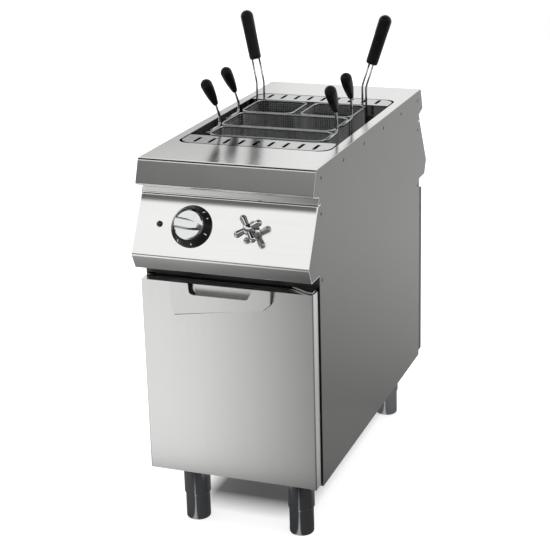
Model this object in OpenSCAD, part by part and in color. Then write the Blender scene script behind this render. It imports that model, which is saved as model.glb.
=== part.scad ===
// Pasta cooker: floor standing unit with a boiling well, four lift-out baskets and a cupboard below.
// Millimetres, +Z up, front towards -Y, origin on the floor under the middle of the cabinet.

/* [Cabinet] */
// Width of the unit
unit_w = 400; // [380:1:460]
// Depth of the flat worktop, front edge to rear edge
top_depth = 820; // [800:1:900]
// Height of the worktop above the floor
top_z = 870; // [850:1:920]
// Height of the cabinet's underside above the floor
base_z = 150; // [140:1:170]
// Thickness of the folded sheet
sheet = 1.5; // [1:0.1:2]
// Gap at the sheet seams
seam = 0.2; // [0.1:0.05:0.4]
// Distance of the cupboard front behind the worktop edge
front_setback = 12; // [8:1:20]
// Width of the folded flanges along the side panels
flange_w = 22; // [18:1:26]
// Depth of the channel rails across the cabinet
rail_depth = 30; // [24:1:40]

/* [Front and rear skin] */
// Lean of the fascia band past the worktop edge
band_out = 20; // [12:1:26]
// Height of the fascia band
band_h = 54; // [46:1:60]
// Radius of the worktop edge
edge_r = 8; // [3:0.5:10]
// Radius of the fold under the band
hem_r = 4; // [3:0.5:5]
// Distance of the fold's return behind the worktop edge
hem_in = 13; // [10:1:16]
// Drop of the fold's return below the band
hem_drop = 9; // [6:1:10]
// Drop of the drip rail's lip below the worktop
lip_drop = 80; // [78:1:90]
// Distance of the drip rail's lip behind the worktop edge
lip_in = 6; // [4:1:8]
// Radius of the drip rail's lip
lip_r = 3; // [2.5:0.5:4]
// Length of the flanges hidden behind the drip rail
tuck = 26; // [24:1:32]
// Distance of the control panel's top edge behind the worktop edge
panel_in = 9.5; // [8:0.5:12]
// Reach of the panel's nose past the worktop edge
nose_out = 57; // [45:1:65]
// Drop of the nose below the worktop
nose_drop = 198.5; // [190:0.5:205]
// Radius of the nose
nose_r = 6; // [4:0.5:8]
// Reach of the apron's lower edge past the worktop edge
apron_out = 40; // [32:1:44]
// Drop of the apron's lower edge below the worktop
apron_drop = 233; // [225:1:245]

/* [Well] */
// Width of the worktop strip on each side of the opening
well_side = 21.5; // [18:0.5:30]
// Depth of the worktop opening
well_d = 528; // [500:1:560]
// Corner radius of the opening
well_r = 28; // [15:1:40]
// Depth of the ledges that carry the drain plates
ledge_drop = 28; // [20:1:45]
// Length of the front ledge
front_ledge = 74; // [60:1:90]
// Length of the rear ledge
rear_ledge = 66; // [55:1:80]
// Tank depth from the worktop to its floor
tank_drop = 280; // [260:1:310]
// Narrowing of the tank on each side
tank_step = 4; // [2:0.5:8]
// Height of the false bottom's flanges
false_h = 46; // [40:1:60]
// Drain plate slot count
slot_n = 9; // [5:1:11]
// Drain plate slot spacing
slot_pitch = 34.8; // [30:0.1:36]
// Drain plate slot width
slot_w = 8; // [5:0.5:12]
// Drain plate slot length
slot_len = 42; // [30:1:44]

/* [Baskets] */
// Rim wire radius
rim_r = 2.5; // [2:0.1:3]
// Corner radius of the baskets
basket_r = 22; // [15:1:26]
// Basket wall thickness
mesh_t = 1.2; // [0.8:0.1:1.6]
// Gap between neighbouring baskets
basket_gap = 4; // [3:0.5:6]
// Room in the tank on each side of the wide baskets
wide_room = 36; // [30:0.5:50]
// Depth of the front basket
front_basket_d = 92; // [80:1:96]
// Depth of the middle basket
middle_basket_d = 138; // [125:1:142]
// Room in the tank behind the small baskets
rear_room = 12; // [8:0.5:26]
// Room in the tank on each side of the small baskets
small_room = 34.5; // [32:0.5:46]
// Space between the two small baskets
small_gap = 16; // [10:1:20]
// Sideways rest position of the front basket
front_shift = 1; // [-6:1:6]
// Sideways rest position of the middle basket
middle_shift = -9; // [-12:1:12]
// Sideways rest position of the small baskets
small_shift = -12; // [-14:1:14]
// Radius of the side handle rods
rod_r = 3; // [2.5:0.1:3.5]
// Length of the rod along the basket side
rod_run = 74; // [50:1:80]
// Height above the rim at which the side rods lean forward
rod_rise = 24; // [18:1:32]
// Largest radius of the short grips
egg_r = 13.5; // [10:0.5:16]
// Length of the short grips
egg_len = 80; // [70:1:90]
// Radius of the long grips
club_r = 15.5; // [14:0.5:18]
// Length of the long grips
club_len = 122; // [100:1:140]
// Height above the rim at which the twin stems bend outwards
stem_rise = 49; // [40:1:60]
// Length of the leaning stem below the long grip
stem_lean = 55; // [50:1:75]
// Clearance of rods in grip bores
bore_fit = 0.1; // [0.05:0.05:0.2]

/* [Controls] */
// Distance of the controls down the panel
control_s = 64.5; // [55:0.5:70]
// Sideways position of the heat knob
knob_x = -72; // [-90:1:-60]
// Bezel ring radius
bezel_r = 46; // [44:0.5:52]
// Height of the bezel's collar above the panel
bezel_h = 17; // [10:0.5:20]
// Knob cap radius
cap_r = 33.5; // [30:0.5:36]
// Height of the knob cap above the panel
cap_h = 35; // [34:1:40]
// Width of the knob's grip bar
grip_bar = 17; // [12:1:22]
// Width of the grip bar's pointing end
bar_tip = 8; // [6:0.5:12]
// Turn of the grip bar at rest
bar_turn = -6; // [-30:1:30]
// Spindle radius
spindle_r = 3; // [2.5:0.1:4]
// Running clearance of turning parts
run_fit = 0.05; // [0.02:0.01:0.09]
// Sideways position of the pilot lamp
lamp_x = -146; // [-160:1:-135]
// Pilot lamp radius
lamp_r = 6.7; // [5:0.1:9]
// Sideways position of the water tap
tap_x = 66; // [50:1:80]
// Arm length of the cross handle
tap_arm = 25; // [20:1:32]
// Arm radius of the cross handle
arm_r = 7.4; // [4:0.1:8]
// Turn of the cross handle at rest
tap_turn = 33; // [0:1:89]
// Height of the cross handle's arms above the panel
tap_h = 30; // [26:1:40]

/* [Door] */
// Door thickness
door_t = 30; // [24:1:36]
// Gasket space behind the door
door_gap = 6; // [5:0.5:8]
// Gap on each side of the door
door_side_gap = 3; // [2:0.5:5]
// Gap between the door and the apron
door_top_gap = 31; // [24:1:40]
// Gap between the cabinet's underside and the door
door_low_gap = 8; // [8:0.5:14]
// Distance of the hinge axis from the door's hinge edge
hinge_in = 10; // [9:0.5:12]
// Hinge pin radius
pin_r = 4; // [3:0.1:5]
// Hinge bracket thickness
bracket_t = 3; // [2:0.1:4]
// Stand-off of the handle at its upper edge
handle_out = 16; // [14:1:20]
// Stand-off of the handle at its lower edge
handle_step = 1.5; // [0.5:0.1:3]
// Height of the handle
handle_h = 80; // [70:1:90]
// Left end of the handle
handle_left = -124; // [-140:1:-115]
// Right end of the handle
handle_right = 108; // [100:1:120]
// Rise of the handle's lower edge from left to right
handle_rise = 32; // [20:1:40]
// Depth of the finger cut-out below the handle's upper edge
finger_drop = 28; // [24:1:34]
// Left end of the finger cut-out
finger_left = -80; // [-95:1:-70]
// Right end of the finger cut-out
finger_right = 53; // [40:1:65]

/* [Legs] */
// Distance of the leg axes from the unit's sides
leg_in = 73; // [60:1:90]
// Distance of the leg axes from the cupboard front and rear
leg_set = 57; // [48:1:98]
// Foot radius
foot_r = 28; // [24:0.5:30]
// Outer radius of the leg sockets
socket_r = 30.5; // [28:0.5:34]
// Height of the visible foot
foot_show = 62; // [50:1:90]

/* [Pipes and electrics] */
// Sideways position of the drain
drain_x = 118; // [100:1:125]
// Fore and aft position of the drain
drain_y = -110; // [-140:1:-60]
// Drain pipe outer radius
drain_r = 19; // [15:0.5:22]
// Pipe wall thickness
pipe_wall = 2; // [1.5:0.1:3]
// Water pipe outer radius
water_r = 8; // [6:0.5:9]
// Heating element radius
heater_r = 4.25; // [3:0.05:5]
// Height of the drain valve's middle above the floor
valve_z = 440; // [400:1:480]
// Length of the drain lever
lever_len = 105; // [80:1:120]

/* [Hidden] */
$fn = 64;
front_y = -top_depth / 2;
cab_front = front_y + front_setback;
apron_z = top_z - apron_drop;
inset = sheet + seam;
inner_w = unit_w - 2 * sheet;
bend_steps = 5;
base_top = base_z + 2 * sheet;
ledge_z = top_z - ledge_drop;
tank_floor = top_z - tank_drop;
tank_front = -well_d / 2 + front_ledge;
tank_rear = well_d / 2 - rear_ledge;
well_w = unit_w - 2 * well_side;
tank_w = well_w - 2 * tank_step;
tank_d = tank_rear - tank_front;
tank_y = (tank_rear + tank_front) / 2;
false_top = tank_floor + false_h + sheet;
heater_z = tank_floor + false_h * 0.42;
plate_gap = 4;
plate_r = well_r + plate_gap;
heater_half = 22;
heater_pitch = 87;
front_basket_y = tank_front + basket_gap;
middle_basket_y = front_basket_y + front_basket_d + basket_gap;
small_basket_y = middle_basket_y + middle_basket_d + basket_gap;
small_basket_d = tank_rear - rear_room - small_basket_y;
wide_w = tank_w - 2 * wide_room;
small_w = (tank_w - small_gap) / 2 - small_room;
rod_x = wide_w / 2 + rod_r + 0.06;
tab_back = [10, 32];
stem_dir = [0.265, 0.205, 0.942];
panel_top = [front_y + panel_in, top_z - lip_drop - seam];
panel_end = [front_y - nose_out, top_z - nose_drop];
panel_tilt = 90 - atan2(panel_end[0] - panel_top[0], panel_end[1] - panel_top[1]) - 180;
door_top = apron_z - door_top_gap;
door_low = base_z + door_low_gap;
door_h = door_top - door_low;
door_w = unit_w - 2 * door_side_gap;
door_rear = cab_front - door_gap;
door_front = door_rear - door_t;
hinge_x = door_w / 2 - hinge_in;
hinge_y = (door_front + door_rear) / 2;
bush_r = pin_r + 3;
bush_lip = 1;
bracket_run = 54;
bracket_in = rail_depth - 4;
bracket_nose = 9;
bracket_side = 7;
bracket_z = door_top + bush_lip + 0.4;
low_bracket_z = base_top;
catch_drop = 32;
gasket_gap = 0.4;
handle_top = door_top + 6;
handle_low = handle_top - handle_h;
leg_x = unit_w / 2 - leg_in;
leg_y = -cab_front - leg_set;
socket_top = base_z + sheet;
socket_low = foot_show;
socket_cap = 4;
bolt_r = 4;
water_in = 98;
water_y = cab_front + water_in;
elbow = 20;
elbow_r = 10;
pipe_run = 44;
fill_run = 40;
pipe_bend = 14;
overflow_r = 14;
overflow_in = 28;
pipe_clear = 2;
tap_depth = 44;
lever_out = 26;
lever_w = 18;
lever_t = 5;
hub_r = 12;
stem_r = 4;
tail_gap = 2;
tail_len = 28;
screw_r = 4;
screw_drop = 25;
screw_in = 31.25;
screw_mid = 101;
screw_low = 13.5;
screw_back = 16;
screw_pitch = (top_depth - 2 * screw_in) / 5;
sill_h = 22;
hole_r = 8;
hole_side = 35.5;
hole_end = 40;
gland_in = 40;
gland_back = 100;
gland_r = 10;
nut_r = 15;
plate_low = apron_z + 24;
plate_y = cab_front + 44;
plate_side = 130;
relay_y = 70;
relay_z = 20;
relay_w = 48;
relay_h = 75;
relay_t = 56;
limit_y = 8;
limit_z = 40;
limit_w = 46;
limit_h = 70;
limit_t = 40;
block_w = 40;
block_h = 14;
cable_r = 6;
end_len = 18;
collar = 8;

// Unit vector along v
function unit(v) = v / norm(v);

// Reversed list
function reversed(p) = [for (i = [len(p) - 1 : -1 : 0]) p[i]];

// List without its first item
function rest(p) = [for (i = [1 : len(p) - 1]) p[i]];

// Left normal of the line from a to b
function left_of(a, b) = let (u = unit(b - a)) [-u[1], u[0]];

// Arc that rounds the corner b between a and c to radius r
function corner_arc(a, b, c, r) =
    let (u = unit(a - b))
    let (v = unit(c - b))
    let (half = acos(u * v) / 2)
    let (mid = b + unit(u + v) * r / sin(half))
    let (start = b + u * r / tan(half) - mid)
    let (stop = b + v * r / tan(half) - mid)
    let (turn = sign(cross(start, stop)) * (180 - 2 * half))
    let (first = atan2(start[1], start[0]))
    [for (k = [0 : bend_steps])
        let (a = first + turn * k / bend_steps)
        mid + r * [cos(a), sin(a)]];

// Polyline with each inner corner rounded to its own radius
function rounded(p, r) = [
    for (i = [0 : len(p) - 1])
        each (i == 0 || i == len(p) - 1) ? [p[i]] : corner_arc(p[i - 1], p[i], p[i + 1], r[i])
];

// Polyline moved to its left by t
function moved(p, t) = [
    for (i = [0 : len(p) - 1])
        let (n1 = left_of(p[max(i - 1, 0)], p[max(i, 1)]))
        let (n2 = left_of(p[min(i, len(p) - 2)], p[min(i + 1, len(p) - 1)]))
        p[i] + (n1 + n2) * t / (1 + n1 * n2)
];

// Front profile point: reach past the worktop edge and drop below the worktop
function at(reach, drop) = [front_y - reach, top_z - drop];

// Point mirrored to the rear
function behind(p) = [for (q = reversed(p)) [-q[0], q[1]]];

// Turning angle at a corner of a rod
function rod_turn(a, b, c) = acos(unit(b - a) * unit(c - b));

// Direction square to d
function square_to(d) = abs(d[2]) < 0.9 ? unit(cross([0, 0, 1], d)) : unit(cross([0, 1, 0], d));

band_corners = [at(0, 0), at(band_out, band_h), at(-hem_in, band_h + hem_drop)];
hem_end = band_corners[2];
rail_turn = hem_end + 4 * unit(hem_end - band_corners[1]);
rail_corners = [hem_end, rail_turn, at(-lip_in, lip_drop), at(-tuck, lip_drop)];
panel_corners = [
    at(-tuck, lip_drop + seam), panel_top, panel_end, at(apron_out, apron_drop),
    at(seam - front_setback, apron_drop)
];
band_path = rounded(concat([[0, top_z]], band_corners), [0, edge_r, hem_r, 0]);
top_path = rounded(
    concat(behind(band_corners), band_corners),
    [0, hem_r, edge_r, edge_r, hem_r, 0]
);
rail_path = rounded(rail_corners, [0, 2, lip_r, 0]);
panel_path = rounded(panel_corners, [0, 2, nose_r, 3, 0]);
front_edge = concat(
    moved(band_path, inset), rest(moved(rail_path, inset)),
    [at(-tuck - seam, lip_drop - inset), at(-tuck - seam, lip_drop + seam + inset)],
    moved(panel_path, inset), [[cab_front, apron_z + inset], [cab_front, base_z]]
);
side_outline = concat(front_edge, behind(rest(front_edge)));

// Sheet strip along a profile path, across the whole width
module strip(path) {
    rotate([90, 0, 90])
        linear_extrude(unit_w, center = true)
            polygon(concat(path, reversed(moved(path, sheet))));
}

// Rectangle with rounded corners, centred
module round_rect(w, d, r) {
    square([w - 2 * r, d], center = true);
    square([w, d - 2 * r], center = true);
    for (x = [-1, 1], y = [-1, 1])
        translate([x * (w / 2 - r), y * (d / 2 - r)])
            circle(r);
}

// Box between two corners
module box(a, b) {
    translate(a)
        cube(b - a);
}

// Children turned so that +Z runs along d from o
module aligned(o, d) {
    x = square_to(d);
    y = cross(d, x);
    multmatrix([
        [x[0], y[0], d[0], o[0]], [x[1], y[1], d[1], o[1]], [x[2], y[2], d[2], o[2]], [0, 0, 0, 1]
    ])
        children();
}

// One bent corner of a round rod
module rod_corner(a, b, c, r, bend) {
    u = unit(b - a);
    v = unit(c - b);
    turn = rod_turn(a, b, c);
    w = unit(v - u * (u * v));
    z = cross(-w, u);
    o = b - u * bend * tan(turn / 2) + w * bend;
    multmatrix([
        [-w[0], u[0], z[0], o[0]], [-w[1], u[1], z[1], o[1]], [-w[2], u[2], z[2], o[2]], [0, 0, 0, 1]
    ])
        rotate_extrude(angle = turn)
            translate([bend, 0])
                circle(r);
}

// Round rod along points, each corner bent to one radius
module bent_rod(p, r, bend) {
    last = len(p) - 2;
    for (i = [0 : last]) {
        u = unit(p[i + 1] - p[i]);
        from = i == 0 ? 0 : bend * tan(rod_turn(p[i - 1], p[i], p[i + 1]) / 2);
        to = i == last ? 0 : bend * tan(rod_turn(p[i], p[i + 1], p[i + 2]) / 2);
        aligned(p[i] + u * from, u)
            cylinder(h = norm(p[i + 1] - p[i]) - from - to, r = r);
    }
    if (last > 0)
        for (i = [1 : last])
            rod_corner(p[i - 1], p[i], p[i + 1], r, bend);
}

// Straight rods between points, with a round boss at each inner corner and a seam after it
module jointed_rod(p, r, boss) {
    for (i = [0 : len(p) - 2]) {
        u = unit(p[i + 1] - p[i]);
        from = i == 0 ? 0 : boss + seam;
        aligned(p[i] + u * from, u)
            cylinder(h = norm(p[i + 1] - p[i]) - from, r = r);
    }
    for (i = [1 : len(p) - 2])
        translate(p[i])
            sphere(boss);
}

// Wire ring around a rounded rectangle, with a seam at the ends and the middle of each bend
module wire_ring(w, d, r, wire) {
    cut = seam / r * 180 / PI;
    for (s = [-1, 1]) {
        translate([s * w / 2, 0, 0])
            rotate([90, 0, 0])
                cylinder(h = d - 2 * r - seam, r = wire, center = true);
        translate([0, s * d / 2, 0])
            rotate([0, 90, 0])
                cylinder(h = w - 2 * r - seam, r = wire, center = true);
    }
    for (k = [0 : 3], half = [0, 45])
        translate([(k == 0 || k == 3 ? 1 : -1) * (w / 2 - r), (k < 2 ? 1 : -1) * (d / 2 - r), 0])
            rotate([0, 0, 90 * k + half + cut / 2])
                rotate_extrude(angle = 45 - cut)
                    translate([r, 0])
                        circle(wire);
}

// Children placed on the control panel, +Z out of its face
module on_panel(x) {
    slope = unit(panel_end - panel_top);
    spot = panel_top + slope * control_s;
    translate([x, spot[0], spot[1]])
        rotate([panel_tilt, 0, 0])
            children();
}

module worktop() {
    color("#E6E7E8")
        difference() {
            strip(top_path);
            translate([0, 0, top_z - 2 * sheet])
                linear_extrude(3 * sheet)
                    round_rect(well_w, well_d, well_r);
        }
}

module drip_rails() {
    color("#D8D9DA")
        for (s = [0, 1])
            mirror([0, s, 0])
                strip(rail_path);
}

module control_panel() {
    color("#E2E3E4")
        difference() {
            strip(panel_path);
            on_panel(knob_x)
                cylinder(h = 6 * sheet, r = spindle_r + 3, center = true);
            on_panel(tap_x)
                cylinder(h = 6 * sheet, r = 9 + seam, center = true);
            on_panel(lamp_x)
                cylinder(h = 6 * sheet, r = lamp_r - 1.2 + seam, center = true);
        }
}

module rear_cowl() {
    color("#D6D7D8")
        mirror([0, 1, 0])
            strip(panel_path);
}

// Places of the screws on one side panel
module at_side_screws() {
    for (k = [0 : 5])
        translate([0, (k - 2.5) * screw_pitch, top_z - screw_drop])
            children();
    for (s = [-1, 1], drop = [screw_mid, apron_drop + screw_low])
        translate([0, s * (cab_front + screw_back), top_z - drop])
            children();
}

// Right side panel
module side_panel() {
    flange_top = bracket_z - seam;
    flange_low = low_bracket_z + bracket_t + seam;
    difference() {
        translate([inner_w / 2, 0, 0])
            rotate([90, 0, 90])
                linear_extrude(sheet)
                    polygon(side_outline);
        at_side_screws()
            translate([inner_w / 2 - sheet, 0, 0])
                rotate([0, 90, 0])
                    cylinder(h = 3 * sheet, r = screw_r + seam);
    }
    box([inner_w / 2 - flange_w, cab_front, flange_low], [inner_w / 2, cab_front + sheet, flange_top]);
    box([inner_w / 2 - flange_w, -cab_front - sheet, base_z], [inner_w / 2, -cab_front, flange_top]);
    box([inner_w / 2 - flange_w, cab_front + sheet, base_z],
        [inner_w / 2, -cab_front - sheet, base_z + sheet]);
}

module side_panel_right() {
    color("#BFC0C0")
        side_panel();
}

module side_panel_left() {
    color("#BFC0C0")
        mirror([1, 0, 0])
            side_panel();
}

module side_screws() {
    color("#6A6B6C")
        for (s = [-1, 1])
            on_side(s)
                at_side_screws() {
                    translate([inner_w / 2, 0, 0])
                        rotate([0, 90, 0])
                            cylinder(h = sheet - seam, r = screw_r);
                    translate([inner_w / 2 - 6, 0, 0])
                        rotate([0, 90, 0])
                            cylinder(h = 6, r = 2);
                }
}

// Children on the right, or mirrored to the left
module on_side(s) {
    mirror([s < 0 ? 1 : 0, 0, 0])
        children();
}

module base_panel() {
    lip_half = inner_w / 2 - flange_w - seam;
    color("#C4C5C6")
        difference() {
            union() {
                box([-inner_w / 2, cab_front + sheet + seam, base_z + sheet],
                    [inner_w / 2, -cab_front - sheet - seam, base_top]);
                box([-lip_half, cab_front, base_z + sheet], [lip_half, cab_front + sheet + seam, base_top]);
            }
            at_legs()
                translate([0, 0, base_z])
                    cylinder(h = 4 * sheet, r = bolt_r + seam);
            translate([drain_x, drain_y, base_z])
                cylinder(h = 4 * sheet, r = drain_r + 1);
            translate([overflow_x(), overflow_y(), base_z])
                cylinder(h = 4 * sheet, r = overflow_r + 1);
            translate([water_x(), water_y, base_z])
                cylinder(h = 4 * sheet, r = water_r + 1);
            translate([gland_x(), gland_y(), base_z])
                cylinder(h = 4 * sheet, r = gland_r + seam);
        }
}

module back_panel() {
    color("#C4C5C6")
        box([-inner_w / 2, -cab_front - 2 * sheet, base_top],
            [inner_w / 2, -cab_front - sheet, apron_z - seam]);
}

module rear_cover() {
    color("#5A5B5D")
        translate([0, 0, door_low])
            difference() {
                pan_block(-cab_front, -door_front, door_h);
                box([-door_w / 2 + sheet, -cab_front - 1, sheet],
                    [door_w / 2 - sheet, -door_front - sheet, door_h - sheet]);
            }
}

// Upright block with its two outer vertical edges rounded, from y0 to the outer face y1
module pan_block(y0, y1, h) {
    r = 3;
    out = sign(y1);
    linear_extrude(h) {
        translate([-door_w / 2, min(y0, y1 - out * r)])
            square([door_w, abs(y1 - y0) - r]);
        translate([-door_w / 2 + r, min(y0, y1)])
            square([door_w - 2 * r, abs(y1 - y0)]);
        for (s = [-1, 1])
            translate([s * (door_w / 2 - r), y1 - out * r])
                circle(r);
    }
}

module cross_rails() {
    z0 = bracket_z + bracket_t;
    z1 = apron_z - 2 * seam;
    lip_half = inner_w / 2 - flange_w - seam;
    lip_right = bracket_left() - seam - 1;
    color("#B8B9BA") {
        for (s = [0, 1])
            mirror([0, s, 0])
                difference() {
                    y1 = s == 0 ? cab_front : cab_front + 2 * sheet;
                    box([-inner_w / 2, y1, z0], [inner_w / 2, cab_front + rail_depth, z1]);
                    box([-inner_w / 2 - 1, y1 + sheet, z0 + sheet],
                        [inner_w / 2 + 1, cab_front + rail_depth + 1, z1 - sheet]);
                }
        box([-lip_half, cab_front, door_top - catch_drop - 2], [lip_right, cab_front + sheet, z0]);
        box([-lip_half, cab_front, base_top], [bracket_left() - 1, cab_front + sheet, base_top + sill_h]);
    }
}

module well() {
    color("#C9CACB")
        difference() {
            union() {
                translate([0, 0, top_z - 2 * sheet])
                    linear_extrude(sheet)
                        round_rect(well_w + 24, well_d + 24, well_r + 12);
                translate([0, 0, ledge_z - sheet])
                    linear_extrude(ledge_drop - sheet)
                        round_rect(well_w + 2 * sheet, well_d + 2 * sheet, well_r + sheet);
                translate([0, tank_y, tank_floor - sheet])
                    linear_extrude(ledge_z - tank_floor)
                        round_rect(tank_w + 2 * sheet, tank_d + 2 * sheet, well_r + sheet);
            }
            translate([0, 0, ledge_z])
                linear_extrude(ledge_drop)
                    round_rect(well_w, well_d, well_r);
            translate([0, tank_y, tank_floor])
                linear_extrude(tank_drop)
                    round_rect(tank_w, tank_d, well_r);
            translate([drain_x, drain_y, tank_floor - 4 * sheet])
                cylinder(h = 6 * sheet, r = drain_r - pipe_wall);
            translate([overflow_x(), overflow_y(), ledge_z - 4 * sheet])
                cylinder(h = 6 * sheet, r = overflow_r - pipe_wall);
            at_heater_legs()
                translate([0, tank_rear, 0])
                    rotate([90, 0, 0])
                        cylinder(h = 8 * sheet, r = heater_r + 0.7, center = true);
            translate([fill_x(), tank_front, tap_back()[1]])
                rotate([90, 0, 0])
                    cylinder(h = 8 * sheet, r = water_r + seam, center = true);
        }
}

// Slotted lift-out plate over one ledge
module drain_plate(edge, side) {
    far = side * well_d / 2;
    mid = (edge + far) / 2;
    difference() {
        translate([0, 0, top_z - sheet])
            linear_extrude(sheet)
                intersection() {
                    round_rect(well_w - 2 * plate_gap, well_d - 2 * plate_gap, plate_r);
                    translate([-well_w / 2, min(edge, far)])
                        square([well_w, abs(far - edge)]);
                }
        for (k = [0 : slot_n - 1])
            translate([(k - (slot_n - 1) / 2) * slot_pitch, mid + side * 3, top_z - 2 * sheet])
                linear_extrude(3 * sheet)
                    round_rect(slot_w, slot_len, slot_w / 2 - 0.01);
    }
    near = edge + side * 2;
    box([-well_w / 2 + 6, min(near, near + side * sheet), ledge_z],
        [well_w / 2 - 6, max(near, near + side * sheet), top_z - sheet]);
    back = far - side * 7;
    box([-well_w / 2 + well_r, min(back, back - side * sheet), ledge_z],
        [well_w / 2 - well_r, max(back, back - side * sheet), top_z - sheet]);
}

module front_drain_plate() {
    color("#DADBDC")
        drain_plate(tank_front + 1, -1);
}

module rear_drain_plate() {
    color("#DADBDC")
        drain_plate(tank_rear - 1, 1);
}

module false_bottom() {
    w = tank_w - 12;
    d = tank_d - 8;
    pitch = [(w / 2 - hole_side) / 3, (d / 2 - hole_end) / 3];
    color("#B4B5B6")
        translate([0, tank_y, 0]) {
            difference() {
                translate([0, 0, false_top - sheet])
                    linear_extrude(sheet)
                        round_rect(w, d, well_r - 4);
                for (x = [-3 : 3], y = [-3 : 3])
                    translate([x * pitch[0], y * pitch[1], false_top - 2 * sheet])
                        cylinder(h = 3 * sheet, r = hole_r, $fn = 24);
            }
            for (s = [-1, 1])
                translate([s * (w / 2 - sheet / 2), 0, tank_floor + false_h / 2])
                    cube([sheet, d - 2 * well_r, false_h], center = true);
        }
}

// Places of the straight heater legs
module at_heater_legs() {
    for (k = [-1 : 1], s = [-1, 1])
        translate([k * heater_pitch + s * heater_half, 0, heater_z])
            children();
}

module heating_elements() {
    out = tank_rear + sheet;
    tip = tank_front + 34;
    color("#6E6A66") {
        for (k = [-1 : 1]) {
            a = k * heater_pitch - heater_half;
            b = k * heater_pitch + heater_half;
            bent_rod([
                [a, out + 26, heater_z], [a, tip, heater_z], [b, tip, heater_z], [b, out + 26, heater_z]
            ], heater_r, heater_half - 1);
        }
        box([-heater_pitch - heater_half - 16, out, heater_z - 16],
            [heater_pitch + heater_half + 16, out + 4, heater_z + 16]);
    }
}

// Seams across a basket's wall, at the ends and the middle of each corner
module wall_seams(w, d, r) {
    for (s = [-1, 1]) {
        translate([s * (w / 2 - r), 0])
            square([seam, 2 * d], center = true);
        translate([0, s * (d / 2 - r)])
            square([2 * w, seam], center = true);
    }
    for (x = [-1, 1], y = [-1, 1])
        translate([x * (w / 2 - r), y * (d / 2 - r)])
            rotate(atan2(y, x))
                translate([0, -seam / 2])
                    square([2 * r, seam]);
}

// Basket body with its front edge at y0: a floor panel inside a wall band
module basket_body(x, y0, w, d) {
    in_w = w - 2 * rim_r - mesh_t;
    in_d = d - 2 * rim_r - mesh_t;
    translate([x, y0 + d / 2, false_top]) {
        linear_extrude(mesh_t)
            round_rect(in_w - 2 * seam, in_d - 2 * seam, basket_r - mesh_t - seam);
        linear_extrude(top_z - rim_r - false_top)
            difference() {
                round_rect(in_w + 2 * mesh_t, in_d + 2 * mesh_t, basket_r);
                round_rect(in_w, in_d, basket_r - mesh_t);
                wall_seams(in_w + 2 * mesh_t, in_d + 2 * mesh_t, basket_r);
            }
    }
}

// Rim wire of a basket
module basket_rim(x, y0, w, d) {
    translate([x, y0 + d / 2, top_z])
        wire_ring(w - 2 * rim_r, d - 2 * rim_r, basket_r - mesh_t / 2, rim_r);
}

// Path of the right handle rod of a wide basket whose rear edge is at y1
function wide_rod(x, y1) = [
    [x + rod_x, y1 - 3 - rod_run, top_z + 1], [x + rod_x, y1 - 3, top_z + 1], rod_elbow(x, y1),
    rod_tip(x, y1)
];
function rod_elbow(x, y1) = [x + rod_x, y1 - 3, top_z + 1 + rod_rise];
function egg_foot(x, y1) = rod_elbow(x, y1) + [2.7, -14.4, 30.3];
function egg_dir() = unit([4.7, -80.9, 100]);
function rod_tip(x, y1) =
    egg_foot(x, y1) + unit(egg_foot(x, y1) - rod_elbow(x, y1)) * 16;

// Radius of the short grip along its length, below its round end
function egg_at(t) = egg_r * (0.47 + 0.53 * pow(sin(90 * t), 0.9));

// Children at x, and again mirrored about the basket's middle
module both_sides(x) {
    for (s = [0, 1])
        translate([x, 0, 0])
            mirror([s, 0, 0])
                translate([-x, 0, 0])
                    children();
}

// Rim and side handle rods of a wide basket
module wide_frame(x, y0, d) {
    y1 = y0 + d;
    basket_rim(x, y0, wide_w, d);
    both_sides(x) {
        jointed_rod(wide_rod(x, y1), rod_r, rod_r * 1.5);
        for (back = tab_back)
            translate([x + wide_w / 2 - rim_r, y1 - basket_r - back, top_z + 0.4])
                rotate([0, 90, 0])
                    cylinder(h = rod_x - wide_w / 2 + rim_r, r = rim_r * 0.7);
    }
}

// The two short grips of a wide basket
module wide_grips(x, y0, d) {
    foot = egg_foot(x, y0 + d);
    tip = rod_tip(x, y0 + d);
    both_sides(x)
        difference() {
            aligned(foot, egg_dir())
                rotate_extrude()
                    polygon(concat([[0, 0]],
                        [for (k = [0 : 10]) [egg_at(k / 10), (egg_len - egg_r) * k / 10]],
                        [for (a = [15 : 15 : 75]) [egg_r * cos(a), egg_len - egg_r + egg_r * sin(a)]],
                        [[0, egg_len]]));
            aligned(2 * foot - tip, unit(tip - foot))
                cylinder(h = 2 * norm(tip - foot) + 1, r = rod_r + bore_fit);
        }
}

// Direction of a twin stem wire from the middle of the basket's corner
function stem_way(k) = [cos(45 - 21 * k), sin(45 - 21 * k), 0];
function corner_mid(x, y0) = [
    x + small_w / 2 - rim_r - basket_r + mesh_t / 2,
    y0 + small_basket_d - rim_r - basket_r + mesh_t / 2,
    top_z
];
function stem_foot(x, y0, k) = corner_mid(x, y0) + stem_way(k) * (basket_r - mesh_t / 2 + 2 * rim_r + 0.06);
function stem_bend(x, y0, k) = stem_foot(x, y0, k) + [0, 0, stem_rise];
function stem_wire(x, y0, k) = [
    stem_foot(x, y0, k) + [0, 0, -30], stem_bend(x, y0, k),
    stem_bend(x, y0, k) + unit(stem_dir) * (stem_lean + club_len * 0.4)
];

// Rim and twin stem of a small basket, stem on its right rear corner
module small_frame(x, y0) {
    basket_rim(x, y0, small_w, small_basket_d);
    for (k = [-1, 1]) {
        jointed_rod(stem_wire(x, y0, k), rim_r, rim_r * 1.08);
        aligned(corner_mid(x, y0) + stem_way(k) * (basket_r - mesh_t / 2), stem_way(k))
            cylinder(h = 2 * rim_r, r = rim_r * 0.7);
    }
}

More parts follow.
